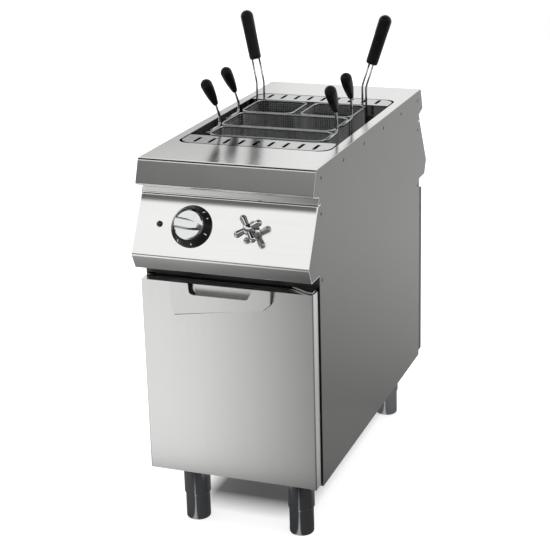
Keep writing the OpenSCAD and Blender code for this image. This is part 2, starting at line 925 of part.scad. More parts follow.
// Long grip of a small basket
module small_grip(x, y0) {
    way = unit(stem_dir);
    foot = (stem_bend(x, y0, -1) + stem_bend(x, y0, 1)) / 2 + way * stem_lean;
    difference() {
        aligned(foot, way)
            rotate_extrude()
                polygon(concat([[0, 0], [club_r - 5, 0], [club_r - 2, 2], [club_r - 1, 6]],
                    [for (a = [0 : 9 : 81]) [club_r * cos(a), club_len - club_r + club_r * sin(a)]],
                    [[0, club_len]]));
        for (k = [-1, 1])
            aligned(stem_bend(x, y0, k) + way * 15, way)
                cylinder(h = stem_lean + club_len * 0.4 - 13, r = rim_r + bore_fit);
    }
}

// Middle of a small basket on the right or left
function small_x(s) = small_shift + s * (small_w + small_gap) / 2;

// Children mirrored to the left about the small baskets' shared middle
module on_left() {
    translate([small_shift, 0, 0])
        mirror([1, 0, 0])
            translate([-small_shift, 0, 0])
                children();
}

module front_basket() {
    color("#77797C")
        basket_body(front_shift, front_basket_y, wide_w, front_basket_d);
}

module front_basket_frame() {
    color("#D0D1D2")
        wide_frame(front_shift, front_basket_y, front_basket_d);
}

module front_basket_grips() {
    color("#1B1B1C")
        wide_grips(front_shift, front_basket_y, front_basket_d);
}

module middle_basket() {
    color("#77797C")
        basket_body(middle_shift, middle_basket_y, wide_w, middle_basket_d);
}

module middle_basket_frame() {
    color("#D0D1D2")
        wide_frame(middle_shift, middle_basket_y, middle_basket_d);
}

module middle_basket_grips() {
    color("#1B1B1C")
        wide_grips(middle_shift, middle_basket_y, middle_basket_d);
}

module right_basket() {
    color("#77797C")
        basket_body(small_x(1), small_basket_y, small_w, small_basket_d);
}

module right_basket_frame() {
    color("#D0D1D2")
        small_frame(small_x(1), small_basket_y);
}

module right_basket_grip() {
    color("#1B1B1C")
        small_grip(small_x(1), small_basket_y);
}

module left_basket() {
    color("#77797C")
        on_left()
            basket_body(small_x(1), small_basket_y, small_w, small_basket_d);
}

module left_basket_frame() {
    color("#D0D1D2")
        on_left()
            small_frame(small_x(1), small_basket_y);
}

module left_basket_grip() {
    color("#1B1B1C")
        on_left()
            small_grip(small_x(1), small_basket_y);
}

module knob_bezel() {
    color("#1E1E1F")
        on_panel(knob_x)
            rotate_extrude()
                polygon([
                    [8, 0], [bezel_r, 0], [bezel_r, 2.5], [bezel_r - 1.2, 4.5], [cap_r + 2.5, bezel_h],
                    [cap_r + 1, bezel_h], [cap_r + 1, 3], [8, 3]
                ]);
}

module knob_cap() {
    low = 4;
    shelf = cap_h - 13;
    color("#D9DADB")
        on_panel(knob_x)
            rotate([0, 0, bar_turn])
                difference() {
                    union() {
                        rotate_extrude()
                            polygon([
                                [0, low], [cap_r - 1, low], [cap_r, low + 2], [cap_r, shelf - 5],
                                [cap_r - 1.5, shelf - 2], [cap_r - 4, shelf], [0, shelf]
                            ]);
                        intersection() {
                            rotate([90, 0, 90])
                                linear_extrude(2 * cap_r, center = true)
                                    polygon([
                                        [-grip_bar * 0.75, shelf - 3], [grip_bar * 0.75, shelf - 3],
                                        [grip_bar * 0.5, cap_h - 2], [grip_bar * 0.36, cap_h],
                                        [-grip_bar * 0.36, cap_h], [-grip_bar * 0.5, cap_h - 2]
                                    ]);
                            rotate_extrude()
                                polygon([
                                    [0, low], [cap_r - 2, low], [cap_r - 2, shelf - 2],
                                    [cap_r - 5, cap_h - 3], [cap_r - 8, cap_h + 1], [0, cap_h + 1]
                                ]);
                            linear_extrude(cap_h + 1)
                                polygon([
                                    [-cap_r, -grip_bar], [cap_r, -bar_tip / 2], [cap_r, bar_tip / 2],
                                    [-cap_r, grip_bar]
                                ]);
                        }
                    }
                    translate([0, 0, low - 1])
                        cylinder(h = cap_h - low - 4, r = spindle_r + seam);
                }
}

module knob_spindle() {
    color("#B9A46A")
        on_panel(knob_x)
            translate([0, 0, -30])
                cylinder(h = 30 + cap_h - 6, r = spindle_r);
}

module heat_regulator() {
    color("#2C2C2E")
        on_panel(knob_x)
            difference() {
                translate([-23, -24, -44 - sheet])
                    cube([46, 48, 44]);
                translate([0, 0, -32])
                    cylinder(h = 40, r = spindle_r + run_fit);
            }
}

module pilot_lens() {
    color("#3A2A28")
        on_panel(lamp_x)
            rotate_extrude()
                polygon(concat([[0, 0], [lamp_r, 0], [lamp_r, 1.5]],
                    [for (a = [0 : 15 : 75]) [(lamp_r - 0.8) * cos(a), 1.5 + 4 * sin(a)]], [[0, 5.5]]));
}

module pilot_body() {
    color("#2C2C2E")
        on_panel(lamp_x)
            translate([0, 0, -34]) {
                cylinder(h = 34, r = lamp_r - 1.2);
                translate([0, 0, 34 - 6 - sheet])
                    cylinder(h = 6, r = lamp_r + 3);
            }
}

module tap_handle() {
    color("#D4D5D6")
        on_panel(tap_x)
            rotate([0, 0, tap_turn]) {
                for (k = [0 : 3])
                    rotate([0, 0, 90 * k])
                        translate([0, 0, tap_h])
                            rotate([0, 90, 0]) {
                                cylinder(h = tap_arm, r1 = arm_r * 0.72, r2 = arm_r);
                                translate([0, 0, tap_arm])
                                    sphere(arm_r);
                            }
                rotate_extrude()
                    polygon(concat([[0, tap_h - 9], [9, tap_h - 9], [10.5, tap_h - 5], [10.5, tap_h + 3]],
                        [for (a = [0 : 15 : 75]) [10.5 * cos(a), tap_h + 3 + 5 * sin(a)]], [[0, tap_h + 8]]));
                translate([0, 0, -18])
                    cylinder(h = tap_h + 14, r = 4);
            }
}

module tap_bonnet() {
    color("#D4D5D6")
        on_panel(tap_x)
            difference() {
                rotate_extrude()
                    polygon([
                        [0, -20], [9, -20], [9, 0], [16, 0], [16, 2], [12, 5], [9, 9],
                        [8, tap_h - 10], [0, tap_h - 10]
                    ]);
                translate([0, 0, -19])
                    cylinder(h = tap_h + 10, r = 4 + run_fit);
            }
}

// Middle of the tap body behind the panel
function tap_back() =
    let (slope = unit(panel_end - panel_top))
    let (spot = panel_top + slope * control_s + [-slope[1], slope[0]] * (tap_depth - 12))
    [round(spot[0]), round(spot[1])];
function water_x() = inner_w / 2 - flange_w - water_r - pipe_clear;
function fill_x() = tap_x - fill_run;
function overflow_x() = inner_w / 2 - overflow_r - overflow_in;
function overflow_y() = -well_d / 2 + front_ledge * 0.5;

module tap_body() {
    back = tap_back();
    color("#B79A55")
        difference() {
            union() {
                on_panel(tap_x)
                    translate([0, 0, -tap_depth])
                        cylinder(h = tap_depth - sheet, r = 14);
                translate([tap_x, back[0], back[1]])
                    rotate([0, 90, 0])
                        cylinder(h = 2 * elbow, r = elbow_r, center = true);
            }
            on_panel(tap_x)
                translate([0, 0, -20])
                    cylinder(h = 40, r = 9 + seam);
        }
}

module water_pipe() {
    back = tap_back();
    color("#C07A4A")
        bent_rod([
            [tap_x + elbow, back[0], back[1]], [tap_x + pipe_run, back[0], back[1]],
            [tap_x + pipe_run, water_y, back[1]],
            [water_x(), water_y, back[1]], [water_x(), water_y, base_z - tail_gap]
        ], water_r, pipe_bend);
    color("#C07A4A")
        translate([water_x(), water_y, base_z - tail_gap - tail_len])
            cylinder(h = tail_len, r = water_r - 1);
}

module fill_pipe() {
    back = tap_back();
    color("#C07A4A")
        bent_rod([
            [tap_x - elbow, back[0], back[1]], [fill_x(), back[0], back[1]], [fill_x(), tank_front, back[1]]
        ], water_r, pipe_bend);
}

// Upright tube
module tube(x, y, z0, z1, r) {
    translate([x, y, z0])
        difference() {
            cylinder(h = z1 - z0, r = r);
            translate([0, 0, -1])
                cylinder(h = z1 - z0 + 2, r = r - pipe_wall);
        }
}

module overflow_pipe() {
    color("#B8B9BA")
        tube(overflow_x(), overflow_y(), base_z - 30, ledge_z - sheet, overflow_r);
}

module drain_pipes() {
    color("#B8B9BA") {
        tube(drain_x, drain_y, valve_z + 36, tank_floor - sheet, drain_r);
        tube(drain_x, drain_y, base_z - tail_gap, valve_z - 36, drain_r);
        tube(drain_x, drain_y, base_z - tail_gap - tail_len, base_z - tail_gap, drain_r - 1);
    }
}

module drain_valve() {
    color("#B79A55")
        difference() {
            union() {
                translate([drain_x, drain_y, valve_z - 30])
                    cylinder(h = 60, r = drain_r + 6);
                for (s = [-1, 1])
                    translate([drain_x, drain_y, valve_z + s * 30 - 10])
                        cylinder(h = 20, r = drain_r + 10, $fn = 8);
                translate([drain_x, drain_y, valve_z])
                    rotate([90, 0, 0])
                        cylinder(h = drain_r + 24, r = 11);
            }
            for (s = [-1, 1])
                translate([drain_x, drain_y, valve_z + s * 38 - 2])
                    cylinder(h = 4, r = drain_r + seam);
            translate([drain_x, drain_y, valve_z - 50])
                cylinder(h = 100, r = drain_r - pipe_wall);
            translate([drain_x, drain_y, valve_z])
                rotate([90, 0, 0])
                    cylinder(h = drain_r + lever_out + 4, r = stem_r + run_fit);
        }
}

module drain_lever() {
    out = drain_r + lever_out;
    color("#A83A2E")
        translate([drain_x, drain_y, valve_z])
            rotate([90, 0, 0]) {
                translate([0, 0, drain_r + stem_r])
                    cylinder(h = lever_out, r = stem_r);
                translate([0, 0, out]) {
                    cylinder(h = lever_t + 1, r = hub_r);
                    translate([-lever_len, -lever_w / 2, 0])
                        cube([lever_len, lever_w, lever_t]);
                    translate([-lever_len, 0, 0])
                        cylinder(h = lever_t, r = lever_w / 2);
                }
            }
}

module door_skin() {
    color("#CBCCCD")
        difference() {
            translate([0, 0, door_low])
                pan_block(door_rear, door_front, door_h);
            box([-door_w / 2 + sheet, door_front + sheet, door_low + sheet],
                [door_w / 2 - sheet, door_rear + 1, door_top - sheet]);
            translate([hinge_x, hinge_y, door_low - 1])
                cylinder(h = door_h + 2, r = bush_r + seam / 2);
        }
}

module door_liner() {
    color("#C0C1C2")
        box([-door_w / 2 + sheet + seam, door_rear - sheet, door_low + sheet + seam],
            [door_w / 2 - sheet - seam, door_rear, door_top - sheet - seam]);
}

// Outline of the door handle seen from the front, grown by g
module handle_outline(g) {
    left = handle_left - g;
    right = handle_right + g;
    low = handle_low - g;
    polygon(rounded([
        [left + 2, handle_top + g], [left - 2, low], [handle_right - 22, low + handle_rise],
        [right - 4, low + handle_rise + 14], [right, handle_top + g], [left + 2, handle_top + g]
    ], [0, 12, 6, 6, 2, 0]));
}

// Finger cut-out of the handle seen from the front
module finger_outline() {
    top = handle_top + 5;
    low = handle_top - finger_drop;
    polygon(rounded([
        [finger_left, top], [finger_left, low], [finger_right, low], [finger_right + 18, top],
        [finger_left, top]
    ], [0, 9, 9, 1, 0]));
}

// Wedge of the handle between the door and its leaning face
module handle_wedge(g) {
    lean = atan2(handle_out - handle_step, handle_h);
    intersection() {
        translate([0, door_front, 0])
            rotate([90, 0, 0])
                linear_extrude(handle_out * 2)
                    handle_outline(g);
        translate([0, door_front - handle_step - g, handle_low])
            rotate([lean, 0, 0])
                translate([-unit_w, g == 0 ? 0 : 0.01, -handle_h])
                    cube([2 * unit_w, 3 * handle_h, 4 * handle_h]);
    }
}

module door_handle() {
    color("#D2D3D4")
        difference() {
            handle_wedge(0);
            translate([0, sheet * 1.02, 0])
                handle_wedge(-sheet);
            translate([0, door_front + 1, 0])
                rotate([90, 0, 0])
                    linear_extrude(handle_out * 3)
                        finger_outline();
        }
}

module door_bushes() {
    color("#2C2C2E")
        for (s = [0, 1])
            translate([hinge_x, hinge_y, s == 0 ? door_low : door_top])
                mirror([0, 0, 1 - s])
                    difference() {
                        union() {
                            translate([0, 0, -18])
                                cylinder(h = 18, r = bush_r);
                            cylinder(h = bush_lip, r = bush_r + 2);
                        }
                        translate([0, 0, -19])
                            cylinder(h = 22, r = pin_r + run_fit);
                    }
}

module door_gasket() {
    color("#1A1A1B")
        translate([0, cab_front - gasket_gap, (door_low + door_top) / 2])
            rotate([90, 0, 0])
                linear_extrude(door_gap - gasket_gap)
                    difference() {
                        square([2 * hinge_x - 4, door_h - 8], center = true);
                        square([2 * hinge_x - 20, door_h - 26], center = true);
                    }
}

function bracket_left() = hinge_x - bracket_run;

// Plan outline of a hinge bracket
module bracket_plan() {
    polygon([
        [bracket_left(), cab_front + bracket_in], [bracket_left(), cab_front],
        [hinge_x - bracket_nose / 3, hinge_y - bracket_nose],
        [hinge_x + bracket_side, hinge_y - bracket_nose],
        [hinge_x + bracket_side, cab_front + bracket_in]
    ]);
}

module hinge_brackets() {
    color("#A8A9AA")
        for (z = [bracket_z, low_bracket_z])
            difference() {
                translate([0, 0, z])
                    linear_extrude(bracket_t)
                        bracket_plan();
                translate([hinge_x, hinge_y, z - 1])
                    cylinder(h = bracket_t + 2, r = pin_r);
            }
}

module hinge_pins() {
    color("#8C8D8E") {
        translate([hinge_x, hinge_y, bracket_z - 16])
            cylinder(h = 16 + bracket_t, r = pin_r);
        translate([hinge_x, hinge_y, low_bracket_z])
            cylinder(h = 16 + bracket_t, r = pin_r);
    }
}

module magnet_catch() {
    x = -hinge_x + 40;
    color("#3A3A3C")
        box([x, cab_front - door_gap + 1, door_top - catch_drop], [x + 46, cab_front, door_top - 15]);
}

// Places of the four legs
module at_legs() {
    for (x = [-1, 1], y = [-1, 1])
        translate([x * leg_x, y * leg_y, 0])
            children();
}

module leg_sockets() {
    color("#4A4B4D")
        at_legs()
            rotate_extrude()
                polygon([
                    [foot_r + run_fit, socket_low], [socket_r - 1.5, socket_low], [socket_r, socket_low + 4],
                    [socket_r, socket_top], [bolt_r + seam, socket_top],
                    [bolt_r + seam, socket_top - socket_cap],
                    [foot_r + run_fit, socket_top - socket_cap]
                ]);
}

module leg_bolts() {
    color("#8C8D8E")
        at_legs() {
            translate([0, 0, base_top])
                cylinder(h = 6, r = 8, $fn = 6);
            translate([0, 0, socket_top - socket_cap])
                cylinder(h = base_top - socket_top + socket_cap, r = bolt_r);
        }
}

// One adjustable foot
module foot(x, y) {
    color("#3E3F41")
        translate([x * leg_x, y * leg_y, 0])
            rotate_extrude()
                polygon(concat([[0, 0]],
                    [for (a = [-90 : 15 : 0]) [foot_r - 4 + 4 * cos(a), 4 + 4 * sin(a)]],
                    [[foot_r, socket_top - socket_cap], [foot_r - 3, socket_top - socket_cap],
                    [foot_r - 3, 14], [0, 14]]));
}

module foot_front_left() {
    foot(-1, -1);
}

module foot_front_right() {
    foot(1, -1);
}

module foot_rear_left() {
    foot(-1, 1);
}

module foot_rear_right() {
    foot(1, 1);
}

function gland_x() = -inner_w / 2 + gland_in;
function gland_y() = cab_front + gland_back;

module electrics() {
    wall = -inner_w / 2;
    low = plate_low;
    y0 = plate_y;
    color("#7C7E80") {
        box([wall, y0, low], [wall + sheet, y0 + plate_side, low + plate_side]);
        box([wall + sheet, y0 + relay_y, low + relay_z],
            [wall + relay_t, y0 + relay_y + relay_w, low + relay_z + relay_h]);
        box([wall + sheet, y0 + limit_y, low + limit_z],
            [wall + limit_t, y0 + limit_y + limit_w, low + limit_z + limit_h]);
        box([wall + sheet, gland_y() - block_w / 2, low],
            [gland_x() + block_h, gland_y() + block_w / 2, low + block_h]);
    }
}

module supply_conduit() {
    color("#3A3A3C")
        translate([gland_x(), gland_y(), base_top + collar])
            cylinder(h = plate_low - base_top - collar, r = cable_r);
}

module cable_gland() {
    color("#2C2C2E")
        translate([gland_x(), gland_y(), 0])
            difference() {
                union() {
                    translate([0, 0, base_z - end_len])
                        cylinder(h = base_top + collar - base_z + end_len, r = gland_r);
                    translate([0, 0, base_top])
                        cylinder(h = 6, r = nut_r, $fn = 6);
                    translate([0, 0, base_z + sheet - 7])
                        cylinder(h = 7, r = nut_r, $fn = 6);
                }
                translate([0, 0, base_z - end_len - 2])
                    cylinder(h = 3 * end_len + 6, r = cable_r + seam);
            }
}

worktop();
drip_rails();
control_panel();
rear_cowl();
side_panel_left();
side_panel_right();
side_screws();
base_panel();
back_panel();
rear_cover();
cross_rails();
well();
front_drain_plate();
rear_drain_plate();
false_bottom();
heating_elements();
front_basket();
front_basket_frame();
front_basket_grips();
middle_basket();
middle_basket_frame();
middle_basket_grips();
left_basket();
left_basket_frame();
left_basket_grip();
right_basket();
right_basket_frame();
right_basket_grip();
knob_bezel();
knob_cap();
knob_spindle();
heat_regulator();
pilot_lens();
pilot_body();
tap_handle();
tap_bonnet();
tap_body();
water_pipe();
fill_pipe();
overflow_pipe();
drain_pipes();
drain_valve();
drain_lever();
door_skin();
door_liner();
door_handle();
door_bushes();
door_gasket();
hinge_brackets();
hinge_pins();
magnet_catch();
leg_sockets();
leg_bolts();
foot_front_left();
foot_front_right();
foot_rear_left();
foot_rear_right();
electrics();
supply_conduit();
cable_gland();
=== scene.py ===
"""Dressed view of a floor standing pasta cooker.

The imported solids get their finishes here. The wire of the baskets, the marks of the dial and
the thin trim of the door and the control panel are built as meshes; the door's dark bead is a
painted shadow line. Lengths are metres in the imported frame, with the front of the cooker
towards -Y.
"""

import logging
import math
from dataclasses import dataclass
from enum import Enum
from typing import Iterable, Sequence

import bmesh
import bpy
from mathutils import Matrix, Vector


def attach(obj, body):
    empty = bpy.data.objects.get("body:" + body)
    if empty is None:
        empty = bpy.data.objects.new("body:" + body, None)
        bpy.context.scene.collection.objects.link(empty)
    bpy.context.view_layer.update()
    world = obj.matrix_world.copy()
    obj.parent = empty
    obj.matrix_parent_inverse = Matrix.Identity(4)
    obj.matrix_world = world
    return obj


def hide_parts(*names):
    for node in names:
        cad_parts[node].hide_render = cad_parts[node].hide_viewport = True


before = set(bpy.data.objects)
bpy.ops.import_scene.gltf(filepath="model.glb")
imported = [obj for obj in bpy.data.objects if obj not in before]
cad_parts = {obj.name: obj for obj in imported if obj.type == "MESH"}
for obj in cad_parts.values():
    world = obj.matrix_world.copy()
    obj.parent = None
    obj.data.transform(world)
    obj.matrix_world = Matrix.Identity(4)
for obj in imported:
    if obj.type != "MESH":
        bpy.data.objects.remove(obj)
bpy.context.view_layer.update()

LOG = logging.getLogger("pasta_cooker")
Colour = tuple[float, float, float]
Shade = tuple[float, float, float, float]
Span = tuple[float, float]
Spot = tuple[float, float, float]
Socket = bpy.types.NodeSocket
Value = Socket | float

BLACK: Shade = (0.0, 0.0, 0.0, 1.0)
WHITE: Shade = (1.0, 1.0, 1.0, 1.0)
# A length that counts as nothing, and the rise per length of a wire that counts as upright.
TINY = 1e-9
STEEP = 0.9
# Directions down the sloped control panel and off it.
PANEL_DOWN = Vector((0.0, -0.49002, -0.87171))
PANEL_OFF = Vector((0.0, -0.87171, 0.49002))


def linear(shade: str) -> Colour:
    """Turns a hex shade into linear colour values.

    Args:
        shade: Six hex digits after a hash sign.

    Returns:
        Red, green and blue from 0 to 1.
    """
    parts = [int(shade[i:i + 2], 16) / 255 for i in (1, 3, 5)]
    return tuple(p / 12.92 if p <= 0.04045 else ((p + 0.055) / 1.055) ** 2.4 for p in parts)


def scaled(colour: Colour, factor: float) -> Shade:
    """Makes a colour darker or lighter.

    Args:
        colour: Linear colour.
        factor: What each value is multiplied by.

    Returns:
        The colour with its alpha of 1.
    """
    return (*(min(1.0, c * factor) for c in colour), 1.0)


class Grain(Enum):
    """Run of a sheet's brushed lines, as counts per metre along X, Y and Z."""

    ACROSS = (5.0, 380.0, 380.0)
    FORE_AND_AFT = (380.0, 5.0, 380.0)
    UPRIGHT = (380.0, 380.0, 5.0)
    ROUND = (160.0, 160.0, 160.0)


class NodeBench:
    """Adds and joins the nodes of one shader tree."""

    def __init__(self, tree: bpy.types.NodeTree) -> None:
        """Keeps the tree that the nodes go into."""
        self.tree = tree

    def add(self, kind: str, values: dict | None = None, **settings: object) -> bpy.types.Node:
        """Adds one node.

        Args:
            kind: Type name of the node.
            values: Input values, or sockets to join, by input name or number.
            settings: Properties of the node.

        Returns:
            The new node.
        """
        node = self.tree.nodes.new(kind)
        for key, value in settings.items():
            setattr(node, key, value)
        for key, value in (values or {}).items():
            if isinstance(value, Socket):
                self.tree.links.new(value, node.inputs[key])
            else:
                node.inputs[key].default_value = value
        return node

    def join(self, source: Socket, target: Socket) -> None:
        """Joins an output to an input."""
        self.tree.links.new(source, target)

    def spread(self, value: Socket, low: float, high: float,
               new_low: float = 0.0, new_high: float = 1.0) -> Socket:
        """Spreads a value over a new range.

        Args:
            value: Output with the value.
            low: Value that becomes new_low.
            high: Value that becomes new_high.
            new_low: Start of the new range.
            new_high: End of the new range.

        Returns:
            Output with the spread value.
        """
        node = self.add("ShaderNodeMapRange", {
            "Value": value, "From Min": low, "From Max": high,
            "To Min": new_low, "To Max": new_high,
        })
        return node.outputs["Result"]

    def blend(self, mask: Socket, first: Shade | Socket, second: Shade | Socket) -> Socket:
        """Blends two colours by a mask.

        Args:
            mask: Output that goes from the first colour at 0 to the second at 1.
            first: Colour at 0.
            second: Colour at 1.

        Returns:
            Output with the blended colour.
        """
        node = self.add("ShaderNodeMix", {0: mask, 6: first, 7: second}, data_type="RGBA")
        return node.outputs[2]

    def calc(self, operation: str, first: Value, second: Value) -> Socket:
        """Works out one sum.

        Args:
            operation: Name of the sum.
            first: Output or number.
            second: Output or number.

        Returns:
            Output with the result.
        """
        return self.add("ShaderNodeMath", {0: first, 1: second}, operation=operation).outputs[0]

    def unsigned(self, value: Socket) -> Socket:
        """Drops the sign of a value."""
        return self.calc("ABSOLUTE", value, 0.0)

    def rest(self, value: Socket) -> Socket:
        """Takes a value from 1."""
        return self.calc("SUBTRACT", 1.0, value)

    def product(self, first: Value, *others: Value) -> Value:
        """Multiplies values.

        Args:
            first: Output or number.
            others: Outputs or numbers to multiply it by.

        Returns:
            Output with the product.
        """
        for other in others:
            first = self.calc("MULTIPLY", first, other)
        return first

    def weigh(self, *parts: tuple[Socket, float]) -> Value:
        """Adds up values by their shares.

        Args:
            parts: Each output with its share.

        Returns:
            Output with the sum.
        """
        total, *others = [self.product(value, share) for value, share in parts]
        for other in others:
            total = self.calc("ADD", total, other)
        return total

    def fade(self, mask: Socket, first: Value, second: Value) -> Socket:
        """Fades from one value to another.

        Args:
            mask: Output that goes from the first value at 0 to the second at 1.
            first: Output or number at 0.
            second: Output or number at 1.

        Returns:
            Output with the faded value.
        """
        return self.calc("ADD", self.product(self.rest(mask), first), self.product(mask, second))

    def noise(self, place: Socket, scale: Value, detail: float, rough: float,
              warp: float = 0.0) -> Socket:
        """Adds a cloud of noise.

        Args:
            place: Output with the coordinates.
            scale: Output or number of lumps per unit.
            detail: Number of finer layers.
            rough: Share of the finer layers.
            warp: How far the lumps are drawn out of shape.

        Returns:
            Output with the noise.
        """
        return self.add("ShaderNodeTexNoise", {
            "Vector": place, "Scale": scale, "Detail": detail, "Roughness": rough,
            "Distortion": warp,
        }).outputs[0]

    def rays(self) -> tuple[Socket, Socket]:
        """Tells kinds of light rays apart.

        Returns:
            Mask of the camera's own rays, and mask of those that metal or glass sends on.
        """
        path = self.add("ShaderNodeLightPath").outputs
        mirrored = self.calc("MAXIMUM", path["Is Glossy Ray"], path["Is Transmission Ray"])
        return path["Is Camera Ray"], mirrored


def new_group(name: str, given: str, kind: str, outputs: Iterable[str],
              ) -> tuple[bpy.types.NodeTree, NodeBench, Socket, bpy.types.Node]:
    """Starts a shader node group with one input.

    Args:
        name: Name of the group.
        given: Name of its input.
        kind: Socket type of the input.
        outputs: Name of each value output.

    Returns:
        The group, a bench for its nodes, the input's value and the output node.
    """
    group = bpy.data.node_groups.new(name, "ShaderNodeTree")
    group.interface.new_socket(given, in_out="INPUT", socket_type=kind)
    for label in outputs:
        group.interface.new_socket(label, in_out="OUTPUT", socket_type="NodeSocketFloat")
    bench = NodeBench(group)
    value = bench.add("NodeGroupInput").outputs[given]
    return group, bench, value, bench.add("NodeGroupOutput")


class Effects:
    """Surface effects that several finishes share, each built once as a node group."""

    def __init__(self) -> None:
        """Builds every effect."""
        self.brushed = self._brushed()
        self.patches = self._patches()
        self.skin = self._skin()
        self.seam_shading = self._painted_seam_shade()

    @staticmethod
    def _brushed() -> bpy.types.NodeTree:
        """Builds the brushed lines of sheet steel.

        Returns:
            Group with the input Run and the outputs Lines and Scratches.
        """
        group, bench, run, out = new_group("brushed_lines", "Run", "NodeSocketVector",
                                           ("Lines", "Scratches"))
        place = bench.add("ShaderNodeTexCoord").outputs["Object"]
        drawn = bench.add("ShaderNodeVectorMath", {0: place, 1: run}, operation="MULTIPLY")
        lines = bench.noise(drawn.outputs[0], 0.5, detail=3.0, rough=0.62)
        fine = bench.noise(drawn.outputs[0], 2.3, detail=2.0, rough=0.7)
        bench.join(bench.spread(lines, 0.34, 0.66), out.inputs["Lines"])
        bench.join(bench.spread(fine, 0.3, 0.7), out.inputs["Scratches"])
        return group

    @staticmethod
    def _patches() -> bpy.types.NodeTree:
        """Builds soft patches of handling and drying marks.

        Returns:
            Group with the input Size, in patches per metre, and the outputs Patch and Spots.
        """
        group, bench, size, out = new_group("soft_patches", "Size", "NodeSocketFloat",
                                            ("Patch", "Spots"))
        place = bench.add("ShaderNodeTexCoord").outputs["Object"]
        cloud = bench.noise(place, size, detail=3.0, rough=0.55, warp=0.4)
        dots = bench.noise(place, bench.product(size, 7.0), detail=2.0, rough=0.5)
        bench.join(bench.spread(cloud, 0.33, 0.67), out.inputs["Patch"])
        bench.join(bench.spread(dots, 0.58, 0.78), out.inputs["Spots"])
        return group

    @staticmethod
    def _skin() -> bpy.types.NodeTree:
        """Builds the fine skin of moulded plastic, rubber and paint.

        Returns:
            Group with the input Size, in grains per metre, and the outputs Skin and Mottle.
        """
        group, bench, size, out = new_group("moulded_skin", "Size", "NodeSocketFloat",
                                            ("Skin", "Mottle"))
        place = bench.add("ShaderNodeTexCoord").outputs["Object"]
        grain = bench.noise(place, size, detail=2.0, rough=0.6)
        mottle = bench.noise(place, bench.product(size, 0.04), detail=3.0, rough=0.5)
        bench.join(bench.spread(grain, 0.3, 0.7), out.inputs["Skin"])
        bench.join(bench.spread(mottle, 0.35, 0.65), out.inputs["Mottle"])
        return group

    @staticmethod
    def _painted_seam_shade() -> bpy.types.NodeTree:
        """Builds painted shade in the narrow gaps between sheets, found by ambient occlusion.

        Returns:
            Group with the input Reach, in metres, and the output Open.
        """
        group, bench, reach, out = new_group("painted_seam_shade", "Reach", "NodeSocketFloat", ("Open",))
        shut = bench.add("ShaderNodeAmbientOcclusion", {"Distance": reach}, samples=6)
        bench.join(bench.spread(shut.outputs["AO"], 0.3, 0.9), out.inputs["Open"])
        return group


def blank_material(name: str) -> tuple[bpy.types.Material, NodeBench, bpy.types.Node]:
    """Starts a material.

    Args:
        name: Name of the finish.

    Returns:
        The material, a bench for its nodes and its shader.
    """
    material = bpy.data.materials.new(name)
    material.use_nodes = True
    material.node_tree.nodes.clear()
    bench = NodeBench(material.node_tree)
    shader = bench.add("ShaderNodeBsdfPrincipled")
    out = bench.add("ShaderNodeOutputMaterial")
    bench.join(shader.outputs["BSDF"], out.inputs["Surface"])
    return material, bench, shader


@dataclass(frozen=True)
class Finish:
    """What every finish has: its shade, how dull it is, and how far both drift."""

    name: str
    shade: str
    rough: float
    contrast: float = 0.05
    rough_drift: float = 0.05
    rough_least: float = 0.02
    relief: float = 0.06
    relief_depth: float = 0.0004

    def tint(self, bench: NodeBench, mask: Socket) -> Socket:
        """Varies the shade by a mask.

        Args:
            bench: Bench of the material.
            mask: Output that goes from the darker tone at 0 to the lighter at 1.

        Returns:
            Output with the colour.
        """
        colour = linear(self.shade)
        darker = scaled(colour, 1 - self.contrast)
        return bench.blend(mask, darker, scaled(colour, 1 + self.contrast))

    def texture(self, bench: NodeBench, shader: bpy.types.Node, dull: Socket,
                height: Socket) -> None:
        """Joins the roughness and the relief to the shader.

        Args:
            bench: Bench of the material.
            shader: Its shader.
            dull: Output that goes from the glossiest place at 0 to the dullest at 1.
            height: Output with the relief.
        """
        low = max(self.rough_least, self.rough - self.rough_drift)
        rough = bench.spread(dull, 0.0, 1.0, low, self.rough + self.rough_drift)
        bench.join(rough, shader.inputs["Roughness"])
        bump = bench.add("ShaderNodeBump", {
            "Strength": self.relief, "Distance": self.relief_depth, "Height": height,
        })
        bench.join(bump.outputs["Normal"], shader.inputs["Normal"])


@dataclass(frozen=True)
class MetalFinish(Finish):
    """Bare metal with brushed lines, soft patches and drying spots.

    Where the reach of painted gap shade is above 0, ambient occlusion paints shade into narrow
    gaps within that many metres. A rim share above 0 darkens the colour by that share where the
    surface turns from view, a painted dark reflection at its edges.
    """

    grain: Grain = Grain.ROUND
    patch_size: float = 5.0
    seam_shade_reach: float = 0.0
    painted_rim_shade: float = 0.0
    painted_rim_span: Span = (0.35, 0.8)

    def make(self, effects: Effects) -> bpy.types.Material:
        """Makes the material.

        Args:
            effects: Shared node groups.

        Returns:
            The finished material.
        """
        material, bench, shader = blank_material(self.name)
        lines = bench.add("ShaderNodeGroup", {"Run": self.grain.value},
                          node_tree=effects.brushed).outputs
        marks = bench.add("ShaderNodeGroup", {"Size": self.patch_size},
                          node_tree=effects.patches).outputs
        base = self.tint(bench, bench.weigh((lines["Lines"], 0.55), (marks["Patch"], 0.45)))
        # Painted shade: ambient occlusion darkens the colour in narrow gaps.
        if self.seam_shade_reach > 0:
            seam_shading = bench.add("ShaderNodeGroup", {"Reach": self.seam_shade_reach}, node_tree=effects.seam_shading)
            base = bench.blend(seam_shading.outputs["Open"], BLACK, base)
        # Painted reflection: the colour darkens towards edges that turn from view, standing in for
        # the dark room that round chrome and wire mirror.
        if self.painted_rim_shade > 0:
            turned = bench.add("ShaderNodeLayerWeight", {"Blend": 0.5})
            rim = bench.spread(turned.outputs["Facing"], *self.painted_rim_span, 0.0, self.painted_rim_shade)
            base = bench.blend(rim, base, BLACK)
        bench.join(base, shader.inputs["Base Color"])
        dull = bench.weigh((lines["Scratches"], 0.4), (marks["Patch"], 0.4), (marks["Spots"], 0.2))
        self.texture(bench, shader, dull, lines["Scratches"])
        shader.inputs["Metallic"].default_value = 1.0
        return material


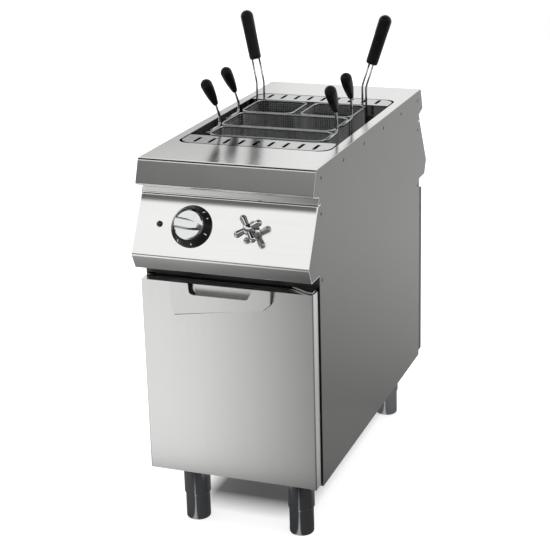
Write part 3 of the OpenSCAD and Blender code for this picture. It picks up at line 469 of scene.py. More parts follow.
@dataclass(frozen=True)
class MouldedFinish(Finish):
    """Plastic, rubber or paint with a fine skin and a slight mottle."""

    contrast: float = 0.25
    rough_drift: float = 0.06
    rough_least: float = 0.03
    relief: float = 0.12
    relief_depth: float = 0.0003
    skin_size: float = 900.0
    coat: float = 0.0
    coat_rough: float = 0.08
    gloss: float = 0.5

    def make(self, effects: Effects) -> bpy.types.Material:
        """Makes the material.

        Args:
            effects: Shared node groups.

        Returns:
            The finished material.
        """
        material, bench, shader = blank_material(self.name)
        skin = bench.add("ShaderNodeGroup", {"Size": self.skin_size},
                         node_tree=effects.skin).outputs
        bench.join(self.tint(bench, skin["Mottle"]), shader.inputs["Base Color"])
        dull = bench.weigh((skin["Mottle"], 0.6), (skin["Skin"], 0.4))
        self.texture(bench, shader, dull, skin["Skin"])
        shader.inputs["Specular IOR Level"].default_value = self.gloss
        shader.inputs["Coat Weight"].default_value = self.coat
        shader.inputs["Coat Roughness"].default_value = self.coat_rough
        return material


FINISHES: tuple[MetalFinish | MouldedFinish, ...] = (
    MetalFinish("top_steel", "#DCDCDA", 0.19, contrast=0.03, rough_drift=0.03, relief=0.015,
                grain=Grain.FORE_AND_AFT, seam_shade_reach=0.004),
    MetalFinish("plate_steel", "#B8B9B9", 0.15, contrast=0.06, rough_drift=0.03, relief=0.02,
                grain=Grain.ACROSS, seam_shade_reach=0.004),
    MetalFinish("panel_steel", "#EFEFED", 0.13, contrast=0.02, rough_drift=0.02, relief=0.01,
                grain=Grain.ACROSS),
    # The side panels' darker steel is painted shade: the same stainless as the top, darkened to
    # the shade that the sides show.
    MetalFinish("side_steel", "#757573", 0.3, contrast=0.03, rough_drift=0.02, relief=0.015,
                grain=Grain.UPRIGHT),
    MetalFinish("door_steel", "#E2E2E0", 0.22, contrast=0.02, rough_drift=0.02, relief=0.015,
                grain=Grain.UPRIGHT),
    MetalFinish("handle_steel", "#D7D7D5", 0.22, contrast=0.02, rough_drift=0.02, relief=0.015,
                grain=Grain.UPRIGHT),
    MetalFinish("inner_steel", "#B4B5B6", 0.3, contrast=0.1, grain=Grain.UPRIGHT),
    MetalFinish("well_steel", "#727476", 0.1, contrast=0.1, grain=Grain.UPRIGHT, seam_shade_reach=0.006),
    # Dark steel on the cross rails is painted shade: the gap above the door falls in shadow.
    MetalFinish("rail_dark", "#4A4B4C", 0.34, contrast=0.1, grain=Grain.ACROSS),
    MetalFinish("mesh_steel", "#A2A3A4", 0.36, contrast=0.4, grain=Grain.UPRIGHT),
    MetalFinish("wire_steel", "#C4C5C6", 0.1, contrast=0.06, painted_rim_shade=0.8),
    MouldedFinish("grip_black", "#161617", 0.3, gloss=0.16),
    MouldedFinish("bezel_black", "#161617", 0.24, coat=0.06, gloss=0.3),
    MetalFinish("knob_chrome", "#E2E3E4", 0.07, rough_drift=0.03, relief=0.01, painted_rim_shade=0.8),
    MetalFinish("tap_chrome", "#E0E1E2", 0.08, rough_drift=0.03, relief=0.01, painted_rim_shade=0.95),
    MouldedFinish("lamp_dark", "#201617", 0.12, coat=0.8, relief=0.02),
    MetalFinish("leg_charcoal", "#8E9092", 0.16, contrast=0.06, rough_drift=0.03, relief=0.02,
                grain=Grain.UPRIGHT),
    MouldedFinish("gasket_rubber", "#151516", 0.6),
    MetalFinish("valve_brass", "#C9A861", 0.28, contrast=0.12),
    MetalFinish("pipe_copper", "#C98A62", 0.26, contrast=0.14),
    MetalFinish("heater_dark", "#6D6862", 0.42, contrast=0.2),
    MouldedFinish("lever_red", "#A8281E", 0.34, contrast=0.12),
    MouldedFinish("electric_black", "#2A2B2D", 0.5),
    MouldedFinish("screw_steel", "#0F0F10", 0.5),
    # The rear cover's near black is partly its own darker back and partly painted shade.
    MouldedFinish("rear_dark", "#2A2A2B", 0.42, contrast=0.08),
    MetalFinish("hinge_steel", "#DCDDDD", 0.16, contrast=0.04),
    MouldedFinish("mark_white", "#F0F0EE", 0.5, contrast=0.04),
)


class Workshop:
    """Holds the finished materials and places pieces on bodies."""

    def __init__(self, effects: Effects) -> None:
        """Makes every finish."""
        self.materials = {finish.name: finish.make(effects) for finish in FINISHES}

    def coat(self, finish: str, *nodes: str) -> None:
        """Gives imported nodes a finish.

        Args:
            finish: Name of the finish.
            nodes: Names of the nodes.
        """
        for name in nodes:
            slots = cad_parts[name].data.materials
            slots.clear()
            slots.append(self.materials[finish])
            LOG.info("finish %s on %s", finish, name)

    def place(self, name: str, mesh: bmesh.types.BMesh, finish: str, slot: str, body: str,
              stands_for: Sequence[str] = (), smooth: bool = True) -> None:
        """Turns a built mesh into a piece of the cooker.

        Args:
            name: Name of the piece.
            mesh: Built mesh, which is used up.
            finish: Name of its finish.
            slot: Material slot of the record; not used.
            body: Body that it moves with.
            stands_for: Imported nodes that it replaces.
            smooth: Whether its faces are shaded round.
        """
        data = bpy.data.meshes.new(name)
        for face in mesh.faces:
            face.smooth = smooth
        mesh.to_mesh(data)
        mesh.free()
        data.materials.append(self.materials[finish])
        piece = bpy.data.objects.new(name, data)
        bpy.context.scene.collection.objects.link(piece)
        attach(piece, body)
        if stands_for:
            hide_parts(*stands_for)
        LOG.info("piece %s on %s, %d faces", name, body, len(data.polygons))


def wrap(mesh: bmesh.types.BMesh, rings: Sequence[Sequence[Vector]], closed: bool = False) -> None:
    """Lays faces over the cross sections of a bar.

    Args:
        mesh: Mesh that the bar goes into.
        rings: Corners of each cross section, in turn.
        closed: Whether the end joins the start.
    """
    corners = [[mesh.verts.new(point) for point in ring] for ring in rings]
    pairs = list(zip(corners, corners[1:]))
    if closed:
        pairs.append((corners[-1], corners[0]))
    for first, second in pairs:
        for k in range(len(first)):
            j = (k + 1) % len(first)
            mesh.faces.new((first[k], first[j], second[j], second[k]))
    if not closed:
        mesh.faces.new(corners[0][::-1])
        mesh.faces.new(corners[-1])


def sweep(mesh: bmesh.types.BMesh, path: Sequence[Vector], radius: float, sides: int,
          closed: bool = False) -> None:
    """Adds a round wire along a path.

    Args:
        mesh: Mesh that the wire goes into.
        path: Points of its middle line.
        radius: Radius of the wire.
        sides: Number of faces around it.
        closed: Whether the end joins the start.
    """
    count = len(path)
    turns = [2 * math.pi * (k + 0.5) / sides for k in range(sides)]
    rings = []
    side = None
    for i, point in enumerate(path):
        before = path[i - 1] if closed or i > 0 else point
        after = path[(i + 1) % count] if closed or i < count - 1 else point
        way = (after - before).normalized()
        if side is None:
            seed = Vector((0, 0, 1)) if abs(way.z) < STEEP else Vector((1, 0, 0))
            side = way.cross(seed).normalized()
        else:
            side = (side - way * side.dot(way)).normalized()
        up = way.cross(side)
        rings.append([point + (side * math.cos(a) + up * math.sin(a)) * radius for a in turns])
    wrap(mesh, rings, closed)


def eased(points: Sequence[Vector], radius: float, steps: int = 7,
          share: float = 0.45) -> list[Vector]:
    """Rounds the inner corners of a path.

    Args:
        points: Corners of the path.
        radius: Radius of the bends.
        steps: Number of pieces in each bend.
        share: Most of a straight run that one bend may take.

    Returns:
        Points of the rounded path.
    """
    out = [points[0]]
    for a, b, c in zip(points, points[1:], points[2:]):
        u = (a - b).normalized()
        v = (c - b).normalized()
        half = u.angle(v) / 2
        reach = min(radius / math.tan(half), share * min((a - b).length, (c - b).length))
        middle = b + (u + v).normalized() * (reach / math.cos(half))
        start = b + u * reach - middle
        end = b + v * reach - middle
        turn = start.angle(end)
        for k in range(steps + 1):
            t = k / steps
            arc = start * math.sin((1 - t) * turn) + end * math.sin(t * turn)
            out.append(middle + arc / math.sin(turn))
    out.append(points[-1])
    return out


def loop(width: float, depth: float, radius: float, per_corner: int) -> list[Vector]:
    """Walks a rounded rectangle in the XY plane about the origin.

    Args:
        width: Size along X.
        depth: Size along Y.
        radius: Corner radius.
        per_corner: Number of pieces in each corner.

    Returns:
        Points in turn, anticlockwise.
    """
    out = []
    for quarter, (sx, sy) in enumerate(((1, 1), (-1, 1), (-1, -1), (1, -1))):
        middle = Vector((sx * (width / 2 - radius), sy * (depth / 2 - radius), 0))
        for k in range(per_corner + 1):
            a = math.pi / 2 * (quarter + k / per_corner)
            out.append(middle + Vector((math.cos(a), math.sin(a), 0)) * radius)
    return out


def spaced(path: Sequence[Vector], pitch: float) -> list[tuple[Vector, Vector]]:
    """Places points along a closed path at an even spacing.

    Args:
        path: Points of the closed path, anticlockwise.
        pitch: Wanted spacing.

    Returns:
        Each point with the outward direction there.
    """
    legs = [(a, b) for a, b in zip(path, [*path[1:], path[0]]) if (b - a).length > TINY]
    total = sum((b - a).length for a, b in legs)
    count = round(total / pitch)
    out = []
    gone = 0.0
    wanted = 0.0
    for a, b in legs:
        length = (b - a).length
        way = (b - a) / length
        while wanted < gone + length - TINY and len(out) < count:
            out.append((a + way * (wanted - gone), Vector((way.y, -way.x, 0))))
            wanted += total / count
        gone += length
    return out


def curled(start: float, lean: float, run: float, steps: int) -> list[float]:
    """Gives the rise along a strip that leans out more and more.

    Args:
        start: Rise at its first edge.
        lean: Lean at its last edge, in degrees.
        run: Length of the strip.
        steps: Number of pieces along it.

    Returns:
        Rise at each edge of the pieces.
    """
    out = [start]
    for k in range(steps):
        slope = math.tan(math.radians(lean * (k + 0.5) / steps))
        out.append(out[-1] + slope * run / steps)
    return out


@dataclass
class Basket:
    """Lift-out basket of welded wire mesh with a round wire rim."""

    name: str
    body: str
    middle_x: float
    front_y: float
    width: float
    depth: float
    floor_z: float = 0.6375
    corner: float = 0.0214
    rim_z: float = 0.870
    rim_wire: float = 0.0025
    rim_sides: int = 12
    rim_bends: int = 9
    base_wire: float = 0.0016
    mesh_wire: float = 0.00056
    mesh_sides: int = 4
    mesh_pitch: float = 0.0058
    row_bends: int = 6
    upright_bends: int = 12
    rod_gap: float = 0.00006
    tab_wire: float = 0.00175
    grips: str = "_grips"

    def centre(self) -> Vector:
        """Gives the middle of the basket, at the height of the origin."""
        return Vector((self.middle_x, self.front_y + self.depth / 2, 0))

    def outline(self, grow: float, per_corner: int) -> list[Vector]:
        """Walks the basket's wall line.

        Args:
            grow: Distance outside the wall line.
            per_corner: Number of pieces in each corner.

        Returns:
            Points in turn, at the height of the origin.
        """
        inset = 2 * (grow - self.rim_wire)
        middle = self.centre()
        ring = loop(self.width + inset, self.depth + inset, self.corner + grow, per_corner)
        return [middle + p for p in ring]

    def build_mesh(self, shop: Workshop) -> None:
        """Builds the wall and floor mesh.

        Args:
            shop: Maker of pieces.
        """
        mesh = bmesh.new()
        low = self.floor_z + self.base_wire
        high = self.rim_z
        rows = round((high - low) / self.mesh_pitch)
        ring = self.outline(-self.mesh_wire, self.row_bends)
        for k in range(1, rows):
            lift = Vector((0, 0, low + (high - low) * k / rows))
            sweep(mesh, [p + lift for p in ring], self.mesh_wire, self.mesh_sides, closed=True)
        for point, out in spaced(self.outline(0, self.upright_bends), self.mesh_pitch):
            foot = point + out * self.mesh_wire
            ends = [foot + Vector((0, 0, height)) for height in (low, high)]
            sweep(mesh, ends, self.mesh_wire, self.mesh_sides)
        self._floor(mesh, low)
        shop.place(self.name + "_mesh", mesh, "mesh_steel", "mesh_steel", self.body, [self.name])

    def _floor(self, mesh: bmesh.types.BMesh, height: float) -> None:
        """Adds the crossing wires of the floor.

        Args:
            mesh: Mesh that the wires go into.
            height: Height of the lower layer.
        """
        half = (self.width / 2 - self.rim_wire, self.depth / 2 - self.rim_wire)
        middle = self.centre()
        for axis in (0, 1):
            along, over = half[axis], half[1 - axis]
            count = round(2 * over / self.mesh_pitch)
            for k in range(1, count):
                offset = -over + 2 * over * k / count
                past = max(0.0, abs(offset) - (over - self.corner))
                reach = along - self.corner + math.sqrt(max(0.0, self.corner ** 2 - past ** 2))
                ends = []
                for s in (-1, 1):
                    spot = [0.0, 0.0, height + axis * 2 * self.mesh_wire]
                    spot[axis] = s * reach
                    spot[1 - axis] = offset
                    ends.append(middle + Vector(spot))
                sweep(mesh, ends, self.mesh_wire, self.mesh_sides)

    def rods(self) -> list[tuple[list[Vector], float]]:
        """Gives the path and radius of each handle rod; a plain basket has none."""
        return []

    def build_frame(self, shop: Workshop) -> None:
        """Builds the rim, the base ring and the handle rods.

        Args:
            shop: Maker of pieces.
        """
        mesh = bmesh.new()
        base_z = self.floor_z + self.base_wire
        for height, wire in ((self.rim_z, self.rim_wire), (base_z, self.base_wire)):
            lift = Vector((0, 0, height))
            ring = [p + lift for p in self.outline(0, self.rim_bends)]
            sweep(mesh, ring, wire, self.rim_sides, closed=True)
        for path, wire in self.rods():
            sweep(mesh, path, wire, self.rim_sides)
        shop.place(self.name + "_rim", mesh, "wire_steel", "wire_steel", self.body,
                   [self.name + "_frame"])

    def dress(self, shop: Workshop) -> None:
        """Builds the basket and finishes its grips.

        Args:
            shop: Maker of pieces.
        """
        self.build_mesh(shop)
        self.build_frame(shop)
        shop.coat("grip_black", self.name + self.grips)


@dataclass
class WideBasket(Basket):
    """Wide basket with a bent rod and a short grip at each end."""

    rod_wire: float = 0.003
    rod_run: float = 0.074
    rod_inset: float = 0.003
    rod_lift: float = 0.001
    rod_rise: float = 0.024
    rod_lean: Spot = (0.0027, -0.0144, 0.0303)
    rod_end: float = 0.012
    bend: float = 0.011
    tab_back: Span = (0.032, 0.054)
    tab_lift: float = 0.0004

    def rods(self) -> list[tuple[list[Vector], float]]:
        """Gives the two bent rods and their weld tabs.

        Returns:
            Path and radius of each rod.
        """
        out = []
        rear = self.front_y + self.depth
        reach = self.width / 2 + self.rod_wire + self.rod_gap
        for s in (-1, 1):
            start = Vector((self.middle_x + s * reach, rear - self.rod_inset - self.rod_run,
                            self.rim_z + self.rod_lift))
            corner = Vector((start.x, rear - self.rod_inset, start.z))
            elbow = corner + Vector((0, 0, self.rod_rise))
            lean = Vector((s * self.rod_lean[0], *self.rod_lean[1:]))
            tip = elbow + lean + lean.normalized() * self.rod_end
            out.append((eased([start, corner, elbow, tip], self.bend), self.rod_wire))
            for back in self.tab_back:
                inner = Vector((self.middle_x + s * (self.width / 2 - self.rim_wire), rear - back,
                                self.rim_z + self.tab_lift))
                out.append(([inner, Vector((start.x, inner.y, inner.z))], self.tab_wire))
        return out


@dataclass
class SmallBasket(Basket):
    """Small basket with a twin wire stem and one long grip."""

    side: int = 1
    stem_drop: float = 0.03
    stem_rise: float = 0.049
    stem_length: float = 0.092
    stem_way: Spot = (0.265, 0.205, 0.942)
    stem_turns: Span = (66.0, 24.0)
    bend: float = 0.035
    grips: str = "_grip"

    def rods(self) -> list[tuple[list[Vector], float]]:
        """Gives the twin stem wires and their weld tabs.

        Returns:
            Path and radius of each wire.
        """
        out = []
        lean = Vector((self.side * self.stem_way[0], *self.stem_way[1:])).normalized()
        hub = Vector((self.middle_x + self.side * (self.width / 2 - self.rim_wire - self.corner),
                      self.front_y + self.depth - self.rim_wire - self.corner, self.rim_z))
        for a in map(math.radians, self.stem_turns):
            way = Vector((self.side * math.cos(a), math.sin(a), 0))
            foot = hub + way * (self.corner + 2 * self.rim_wire + self.rod_gap)
            turn = foot + Vector((0, 0, self.stem_rise))
            path = [foot - Vector((0, 0, self.stem_drop)), turn, turn + lean * self.stem_length]
            out.append((eased(path, self.bend), self.rim_wire))
            out.append(([hub + way * self.corner, foot], self.tab_wire))
        return out


@dataclass
class Cabinet:
    """Steel shell: worktop, sloped panels, sides, base and back."""

    panel_top: Span = (-0.4005, 0.7898)
    cove_half: float = 0.198
    cove_run: Span = (0.0025, 0.0265)
    cove_lip: float = 0.0001
    cove_back: float = 0.00005
    cove_lean: float = 12.0
    cove_steps: int = 12

    def build_cove(self, shop: Workshop) -> None:
        """Builds the hollow strip that leads from the drip rail into the control panel.

        Args:
            shop: Maker of pieces.
        """
        high, low = self.cove_run
        rows = []
        rises = curled(self.cove_lip, self.cove_lean, low - high, self.cove_steps)
        for k, rise in enumerate(rises):
            down = low + (high - low) * k / self.cove_steps
            spot = Vector((0, *self.panel_top)) + PANEL_DOWN * down
            ends = ((-1, rise), (1, rise), (1, self.cove_back), (-1, self.cove_back))
            rows.append([spot + PANEL_OFF * off + Vector((s * self.cove_half, 0, 0))
                         for s, off in ends])
        mesh = bmesh.new()
        wrap(mesh, rows)
        bmesh.ops.recalc_face_normals(mesh, faces=mesh.faces)
        shop.place("panel_cove", mesh, "panel_steel", "panel_steel", "cabinet", smooth=False)

    def dress(self, shop: Workshop) -> None:
        """Builds the cove and finishes the shell's nodes.

        Args:
            shop: Holder of the finishes.
        """
        self.build_cove(shop)
        shop.coat("top_steel", "worktop")
        shop.coat("plate_steel", "front_drain_plate", "rear_drain_plate")
        shop.coat("panel_steel", "drip_rails", "control_panel", "rear_cowl")
        # The side panels' darker tone is painted shade.
        shop.coat("side_steel", "side_panel_left", "side_panel_right")
        # The rear cover's near black is partly painted shade.
        shop.coat("rear_dark", "rear_cover")
        shop.coat("inner_steel", "base_panel", "back_panel", "false_bottom")
        shop.coat("well_steel", "well")
        # The cross rails get the dark steel of painted shade.
        shop.coat("rail_dark", "cross_rails")
        shop.coat("screw_steel", "side_screws", "leg_bolts")
        shop.coat("heater_dark", "heating_elements")


@dataclass
class Door:
    """Hinged cupboard door with its handle, finger scoop, gasket and hinge hardware."""

    front_y: float = -0.434
    scoop_x: Span = (-0.071, 0.076)
    scoop_z: Span = (0.577, 0.6055)
    scoop_lip: float = 0.0006
    scoop_back: float = 0.0003
    scoop_lean: float = 22.0
    scoop_slant: float = 0.006
    scoop_steps: int = 12
    bead_wire: float = 0.0005
    bead_sides: int = 6
    bead_bend: float = 0.008
    bead_path: tuple[Span, ...] = (
        (-0.1205, 0.532), (0.0865, 0.5634), (0.1045, 0.5776), (0.1086, 0.606),
    )

    def build_scoop(self, shop: Workshop) -> None:
        """Builds the curved liner behind the handle's finger cut-out.

        Args:
            shop: Maker of pieces.
        """
        low, high = self.scoop_z
        left, right = self.scoop_x
        rows = []
        rises = curled(self.scoop_lip, self.scoop_lean, high - low, self.scoop_steps)
        for k, rise in enumerate(rises):
            t = k / self.scoop_steps
            height = high + (low - high) * t
            start = left + self.scoop_slant * t * t
            ends = ((start, rise), (right, rise), (right, self.scoop_back),
                    (start, self.scoop_back))
            rows.append([Vector((x, self.front_y - off, height)) for x, off in ends])
        mesh = bmesh.new()
        wrap(mesh, rows)
        bmesh.ops.recalc_face_normals(mesh, faces=mesh.faces)
        shop.place("finger_scoop", mesh, "door_steel", "door_steel", "door", smooth=False)

    def build_shadow_bead(self, shop: Workshop) -> None:
        """Builds a thin dark bead along the handle's lower edge and right end, a painted shadow
        line where the handle stands off the door.

        Args:
            shop: Maker of pieces.
        """
        mesh = bmesh.new()
        path = [Vector((x, self.front_y - self.bead_wire, z - self.bead_wire))
                for x, z in self.bead_path]
        sweep(mesh, eased(path, self.bead_bend), self.bead_wire, self.bead_sides)
        # The dark bead is a painted shadow line beneath the handle.
        shop.place("handle_shadow_bead", mesh, "gasket_rubber", "gasket_rubber", "door")

    def dress(self, shop: Workshop) -> None:
        """Builds the scoop and the dark bead of painted shadow and finishes the door's nodes.

        Args:
            shop: Holder of the finishes.
        """
        self.build_scoop(shop)
        self.build_shadow_bead(shop)
        shop.coat("door_steel", "door_skin")
        shop.coat("handle_steel", "door_handle")
        shop.coat("inner_steel", "door_liner")
        shop.coat("hinge_steel", "hinge_brackets", "hinge_pins")
        shop.coat("gasket_rubber", "door_gasket")
        shop.coat("electric_black", "door_bushes", "magnet_catch")


@dataclass
class Controls:
    """Heat knob, pilot lamp and water tap on the sloped panel."""

    spot: Spot = (-0.072, -0.432106, 0.733575)
    ring_inner: float = 0.036
    ring_outer: float = 0.0448
    ring_inner_h: float = 0.017
    ring_outer_h: float = 0.0045
    mark_half: float = 0.0009
    mark_thick: float = 0.00025
    mark_sink: float = 0.2
    mark_steps: int = 6
    mark_turns: tuple[float, ...] = (41.0, 64.0, 113.0, 167.0, 213.0, 257.0)
    long_mark: Span = (0.039, 0.0424)
    short_mark: Span = (0.04, 0.0416)

    def at(self, turn: float, radius: float) -> Vector:
        """Finds a point on the ring's sloped face.

        Args:
            turn: Degrees clockwise from the top of the dial.
            radius: Distance from the knob's axis.

        Returns:
            The point.
        """
        a = math.radians(turn)
        across = Vector((1, 0, 0)) * math.sin(a) - PANEL_DOWN * math.cos(a)
        return Vector(self.spot) + across * radius + PANEL_OFF * self.ring_height(radius)

    def ring_height(self, radius: float) -> float:
        """Gives the height of the ring's sloped face at a radius."""
        part = (self.ring_outer - radius) / (self.ring_outer - self.ring_inner)
        return self.ring_outer_h + part * (self.ring_inner_h - self.ring_outer_h)

    def stroke(self, mesh: bmesh.types.BMesh, start: Vector, end: Vector) -> None:
        """Adds one painted stroke with round ends.

        Args:
            mesh: Mesh that the stroke goes into.
            start: Middle of its first end.
            end: Middle of its other end.
        """
        way = (end - start).normalized()
        side = PANEL_OFF.cross(way).normalized()
        rise = way.cross(side).normalized() * self.mark_thick
        rim = []
        for middle, first in ((end, -90), (start, 90)):
            for k in range(self.mark_steps + 1):
                a = math.radians(first + 180 * k / self.mark_steps)
                rim.append(middle + (way * math.cos(a) + side * math.sin(a)) * self.mark_half)
        wrap(mesh, [[p - rise * self.mark_sink for p in rim], [p + rise for p in rim]])

    def build_marks(self, shop: Workshop) -> None:
        """Builds the dial's strokes, long and short in turn.

        Args:
            shop: Maker of pieces.
        """
        mesh = bmesh.new()
        for k, turn in enumerate(self.mark_turns):
            near, far = self.short_mark if k % 2 else self.long_mark
            self.stroke(mesh, self.at(turn, near), self.at(turn, far))
        shop.place("dial_marks", mesh, "mark_white", "bezel_black", "cabinet", smooth=False)

    def dress(self, shop: Workshop) -> None:
        """Finishes the controls and builds their marks.

        Args:
            shop: Holder of the finishes.
        """
        shop.coat("bezel_black", "knob_bezel")
        shop.coat("knob_chrome", "knob_cap")
        shop.coat("valve_brass", "knob_spindle", "tap_body")
        shop.coat("lamp_dark", "pilot_lens")
        shop.coat("electric_black", "heat_regulator", "pilot_body")
        shop.coat("tap_chrome", "tap_handle", "tap_bonnet")
        self.build_marks(shop)


@dataclass
class Services:
    """Pipes, drain and electrics inside the cupboard."""

    def dress(self, shop: Workshop) -> None:
        """Finishes the pipes, the valve and the electrics.

        Args:
            shop: Holder of the finishes.
        """
        shop.coat("pipe_copper", "water_pipe", "fill_pipe")
        shop.coat("inner_steel", "overflow_pipe", "drain_pipes")
        shop.coat("valve_brass", "drain_valve")
        shop.coat("lever_red", "drain_lever")
        shop.coat("electric_black", "electrics", "supply_conduit", "cable_gland")


@dataclass
class Legs:
    """Four round legs with screwed feet."""

    def dress(self, shop: Workshop) -> None:
        """Finishes the sockets and feet.

        Args:
            shop: Holder of the finishes.
        """
        shop.coat("leg_charcoal", "leg_sockets", "foot_front_left", "foot_front_right",
                  "foot_rear_left", "foot_rear_right")


@dataclass
class Studio:
    """Pale floor, soft light and the camera of the photograph.

    A zone's span, such as near_run or left_x, says where it starts and where it is full.
    """

    camera_at: Spot = (1.1567, -3.1628, 1.6547)
    yaw: float = 19.863
    pitch: float = 17.755
    roll: float = -1.252
    focal: float = 1480.7
    image: float = 550.0
    centre: Span = (300.0, 240.0)
    sensor: float = 36.0

    key_at: Spot = (-0.9, -1.0, 3.6)
    key_aim: Spot = (0.0, 0.0, 0.5)
    key_power: float = 26.0
    key_size: float = 2.6
    fill_power: float = 0.8

    floor_half: float = 6.0
    floor_shade: Shade = (0.9, 0.9, 0.9, 1.0)
    floor_rough: float = 0.9
    floor_glow: float = 0.68
    floor_shine: float = 0.1
    view_slant: float = 0.378
    # Floor tones visible only in reflections, painted darker near the cooker's front to stand in
    # for its shadow there.
    card_run: Span = (-0.12, 0.46)
    card_tones: Span = (1.1, 0.2)
    near_run: Span = (-0.78, -0.66)
    near_tone: float = 0.15
    lift_run: Span = (-2.0, -0.9)
    lift_tone: float = 1.15
    rear_run: Span = (-0.3, 0.0)
    far_run: Span = (0.3, 1.8)
    rear_tone: float = 0.6
    # Painted shadow: the patch beneath the cooker that the camera sees darker.
    painted_shadow_x: tuple[Span, Span] = ((0.125, 0.06), (-0.19, -0.13))
    painted_shadow_y: tuple[Span, Span] = ((-0.31, -0.215), (0.5, 0.3))
    painted_shadow_depth: float = 0.6
    # Painted highlight: the bright stripe along each leg line that the legs mirror.
    leg_x: float = 0.127
    leg_edge: Span = (0.013, 0.005)
    leg_y: tuple[Span, Span] = ((-0.6, -0.54), (0.36, 0.32))
    leg_tone: float = 0.08
    leg_glow: float = 1.0

    front_y: Span = (0.2, -0.25)
    front_z: Span = (0.5, 0.4)
    front_tone: float = 0.13
    left_x: Span = (-0.335, -0.39)
    left_y: Span = (0.6, 0.8)
    left_z: Span = (0.26, 0.232)
    left_tone: float = 0.3
    over_y: Span = (0.4, 0.2)
    over_z: Span = (0.68, 0.76)
    over_tone: float = 0.02

    def build_camera(self) -> None:
        """Sets the camera where the photograph was taken."""
        y, p, r = (math.radians(a) for a in (self.yaw, self.pitch, self.roll))
        ahead = Vector((-math.sin(y) * math.cos(p), math.cos(y) * math.cos(p), -math.sin(p)))
        right = Vector((math.cos(y), math.sin(y), 0))
        up = right.cross(ahead)
        tilted = right * math.cos(r) + up * math.sin(r)
        raised = up * math.cos(r) - right * math.sin(r)
        lens = bpy.data.cameras.new("view")
        lens.sensor_fit = "HORIZONTAL"
        lens.sensor_width = self.sensor
        lens.lens = self.focal / self.image * self.sensor
        lens.shift_x = (self.image / 2 - self.centre[0]) / self.image
        lens.shift_y = (self.centre[1] - self.image / 2) / self.image
        camera = bpy.data.objects.new("view", lens)
        turn = Matrix((tilted, raised, -ahead)).transposed().to_4x4()
        camera.matrix_world = Matrix.Translation(self.camera_at) @ turn
        bpy.context.scene.collection.objects.link(camera)
        bpy.context.scene.camera = camera

    def floor_material(self) -> bpy.types.Material:
        """Makes the floor's finish: pale to the camera with a painted shadow beneath the cooker,
        and in zones of painted reflection tone where metal mirrors it, with a painted highlight
        stripe along each leg line.

        Returns:
            The material.
        """
        material, bench, shader = blank_material("pale_floor")
        camera, mirrored = bench.rays()
        place = bench.add("ShaderNodeTexCoord").outputs["Object"]
        x, y, _ = bench.add("ShaderNodeSeparateXYZ", {0: place}).outputs
        # Painted reflection tones, visible only in mirrored rays: darker near the cooker's front,
        # standing in for its shadow, and graded across and front to back.
        aside = bench.calc("SUBTRACT", x, bench.product(y, self.view_slant))
        ahead = bench.product(bench.spread(aside, *self.card_run, *self.card_tones),
                              bench.spread(y, *self.near_run, 1.0, self.near_tone),
                              bench.spread(y, *self.lift_run, 1.0, self.lift_tone))
        far = bench.spread(y, *self.far_run, self.rear_tone, 1.0)
        tone = bench.fade(bench.spread(y, *self.rear_run), ahead, far)
        # Painted shadow: a fixed patch beneath the cooker where the camera sees the floor darker
        # and without its glow.
        painted_shadow = bench.product(*(bench.spread(x, *span) for span in self.painted_shadow_x),
                              *(bench.spread(y, *span) for span in self.painted_shadow_y))
        seen_painted_shadow = bench.product(camera, painted_shadow)
        dark = bench.calc("MAXIMUM", bench.product(mirrored, bench.rest(tone)),
                          bench.product(seen_painted_shadow, self.painted_shadow_depth))
        bench.join(bench.blend(dark, self.floor_shade, BLACK), shader.inputs["Base Color"])
        shader.inputs["Roughness"].default_value = self.floor_rough
        shader.inputs["Specular IOR Level"].default_value = 0.0
        shader.inputs["Emission Color"].default_value = WHITE
        # Painted highlight: a bright stripe along each leg line, visible only in mirrored rays,
        # gives the legs their highlight.
        off_leg = bench.unsigned(bench.calc("SUBTRACT", bench.unsigned(x), self.leg_x))
        leg_highlight = bench.product(bench.spread(off_leg, *self.leg_edge, self.leg_tone, self.leg_glow),
                               *(bench.spread(y, *span) for span in self.leg_y))
        shine = bench.calc("ADD", bench.product(tone, self.floor_shine), leg_highlight)
        lit = bench.product(bench.calc("SUBTRACT", camera, seen_painted_shadow), self.floor_glow)
        glow = bench.calc("ADD", lit, bench.product(mirrored, shine))
        bench.join(glow, shader.inputs["Emission Strength"])
        return material

    def build_floor(self) -> None:
        """Lays the pale floor, which keeps the cooker's shadow and has a painted shadow beneath
        it.
        """
        mesh = bmesh.new()
        h = self.floor_half
        corners = ((-h, -h), (h, -h), (h, h), (-h, h))
        mesh.faces.new([mesh.verts.new((x, y, 0)) for x, y in corners])
        data = bpy.data.meshes.new("floor")
        mesh.to_mesh(data)
        mesh.free()
        data.materials.append(self.floor_material())
        floor = bpy.data.objects.new("floor", data)
        bpy.context.scene.collection.objects.link(floor)

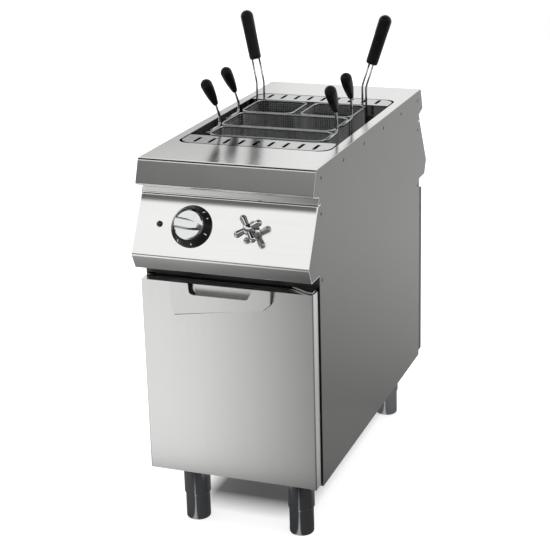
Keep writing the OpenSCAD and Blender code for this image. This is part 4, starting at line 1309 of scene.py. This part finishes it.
    def build_surround(self) -> None:
        """Builds the studio's walls, with dim zones low in front, overhead and far left."""
        world = bpy.data.worlds.new("studio")
        bpy.context.scene.world = world
        world.use_nodes = True
        world.node_tree.nodes.clear()
        bench = NodeBench(world.node_tree)
        place = bench.add("ShaderNodeTexCoord").outputs["Generated"]
        x, y, z = bench.add("ShaderNodeSeparateXYZ", {0: place}).outputs
        front = bench.product(bench.spread(y, *self.front_y), bench.spread(z, *self.front_z))
        left = bench.product(bench.spread(x, *self.left_x), bench.spread(y, *self.left_y),
                             bench.spread(z, *self.left_z))
        over = bench.product(bench.spread(z, *self.over_z), bench.spread(y, *self.over_y))
        tone = bench.product(bench.spread(front, 0.0, 1.0, 1.0, self.front_tone),
                             bench.spread(left, 0.0, 1.0, 1.0, self.left_tone),
                             bench.spread(over, 0.0, 1.0, 1.0, self.over_tone))
        camera, mirrored = bench.rays()
        level = bench.fade(mirrored, self.fill_power, tone)
        strength = bench.fade(camera, level, 1.0)
        sky = bench.add("ShaderNodeBackground", {"Color": WHITE, "Strength": strength})
        out = bench.add("ShaderNodeOutputWorld")
        bench.join(sky.outputs[0], out.inputs["Surface"])

    def build_lights(self) -> None:
        """Hangs the soft key light."""
        lamp = bpy.data.lights.new("key", "AREA")
        lamp.energy = self.key_power
        lamp.shape = "SQUARE"
        lamp.size = self.key_size
        key = bpy.data.objects.new("key", lamp)
        key.location = self.key_at
        aim = Vector(self.key_aim) - Vector(self.key_at)
        key.rotation_euler = aim.to_track_quat("-Z", "Y").to_euler()
        key.visible_glossy = False
        bpy.context.scene.collection.objects.link(key)

    def build(self) -> None:
        """Builds the whole studio."""
        self.build_camera()
        self.build_floor()
        self.build_surround()
        self.build_lights()
        bpy.context.scene.view_settings.view_transform = "Standard"
        LOG.info("studio ready")


def main() -> None:
    """Builds the sub-assemblies in order."""
    logging.basicConfig(level=logging.INFO, format="%(message)s")
    Studio().build()
    shop = Workshop(Effects())
    Cabinet().dress(shop)
    Door().dress(shop)
    Legs().dress(shop)
    Controls().dress(shop)
    Services().dress(shop)
    WideBasket("front_basket", "front_wide", middle_x=0.001, front_y=-0.186,
               width=0.277, depth=0.092).dress(shop)
    WideBasket("middle_basket", "middle_wide", middle_x=-0.009, front_y=-0.090,
               width=0.277, depth=0.138).dress(shop)
    SmallBasket("left_basket", "left_small", middle_x=-0.086, front_y=0.052,
                width=0.132, depth=0.134, side=-1).dress(shop)
    SmallBasket("right_basket", "right_small", middle_x=0.062, front_y=0.052,
                width=0.132, depth=0.134, side=1).dress(shop)


if __name__ == "__main__":
    main()
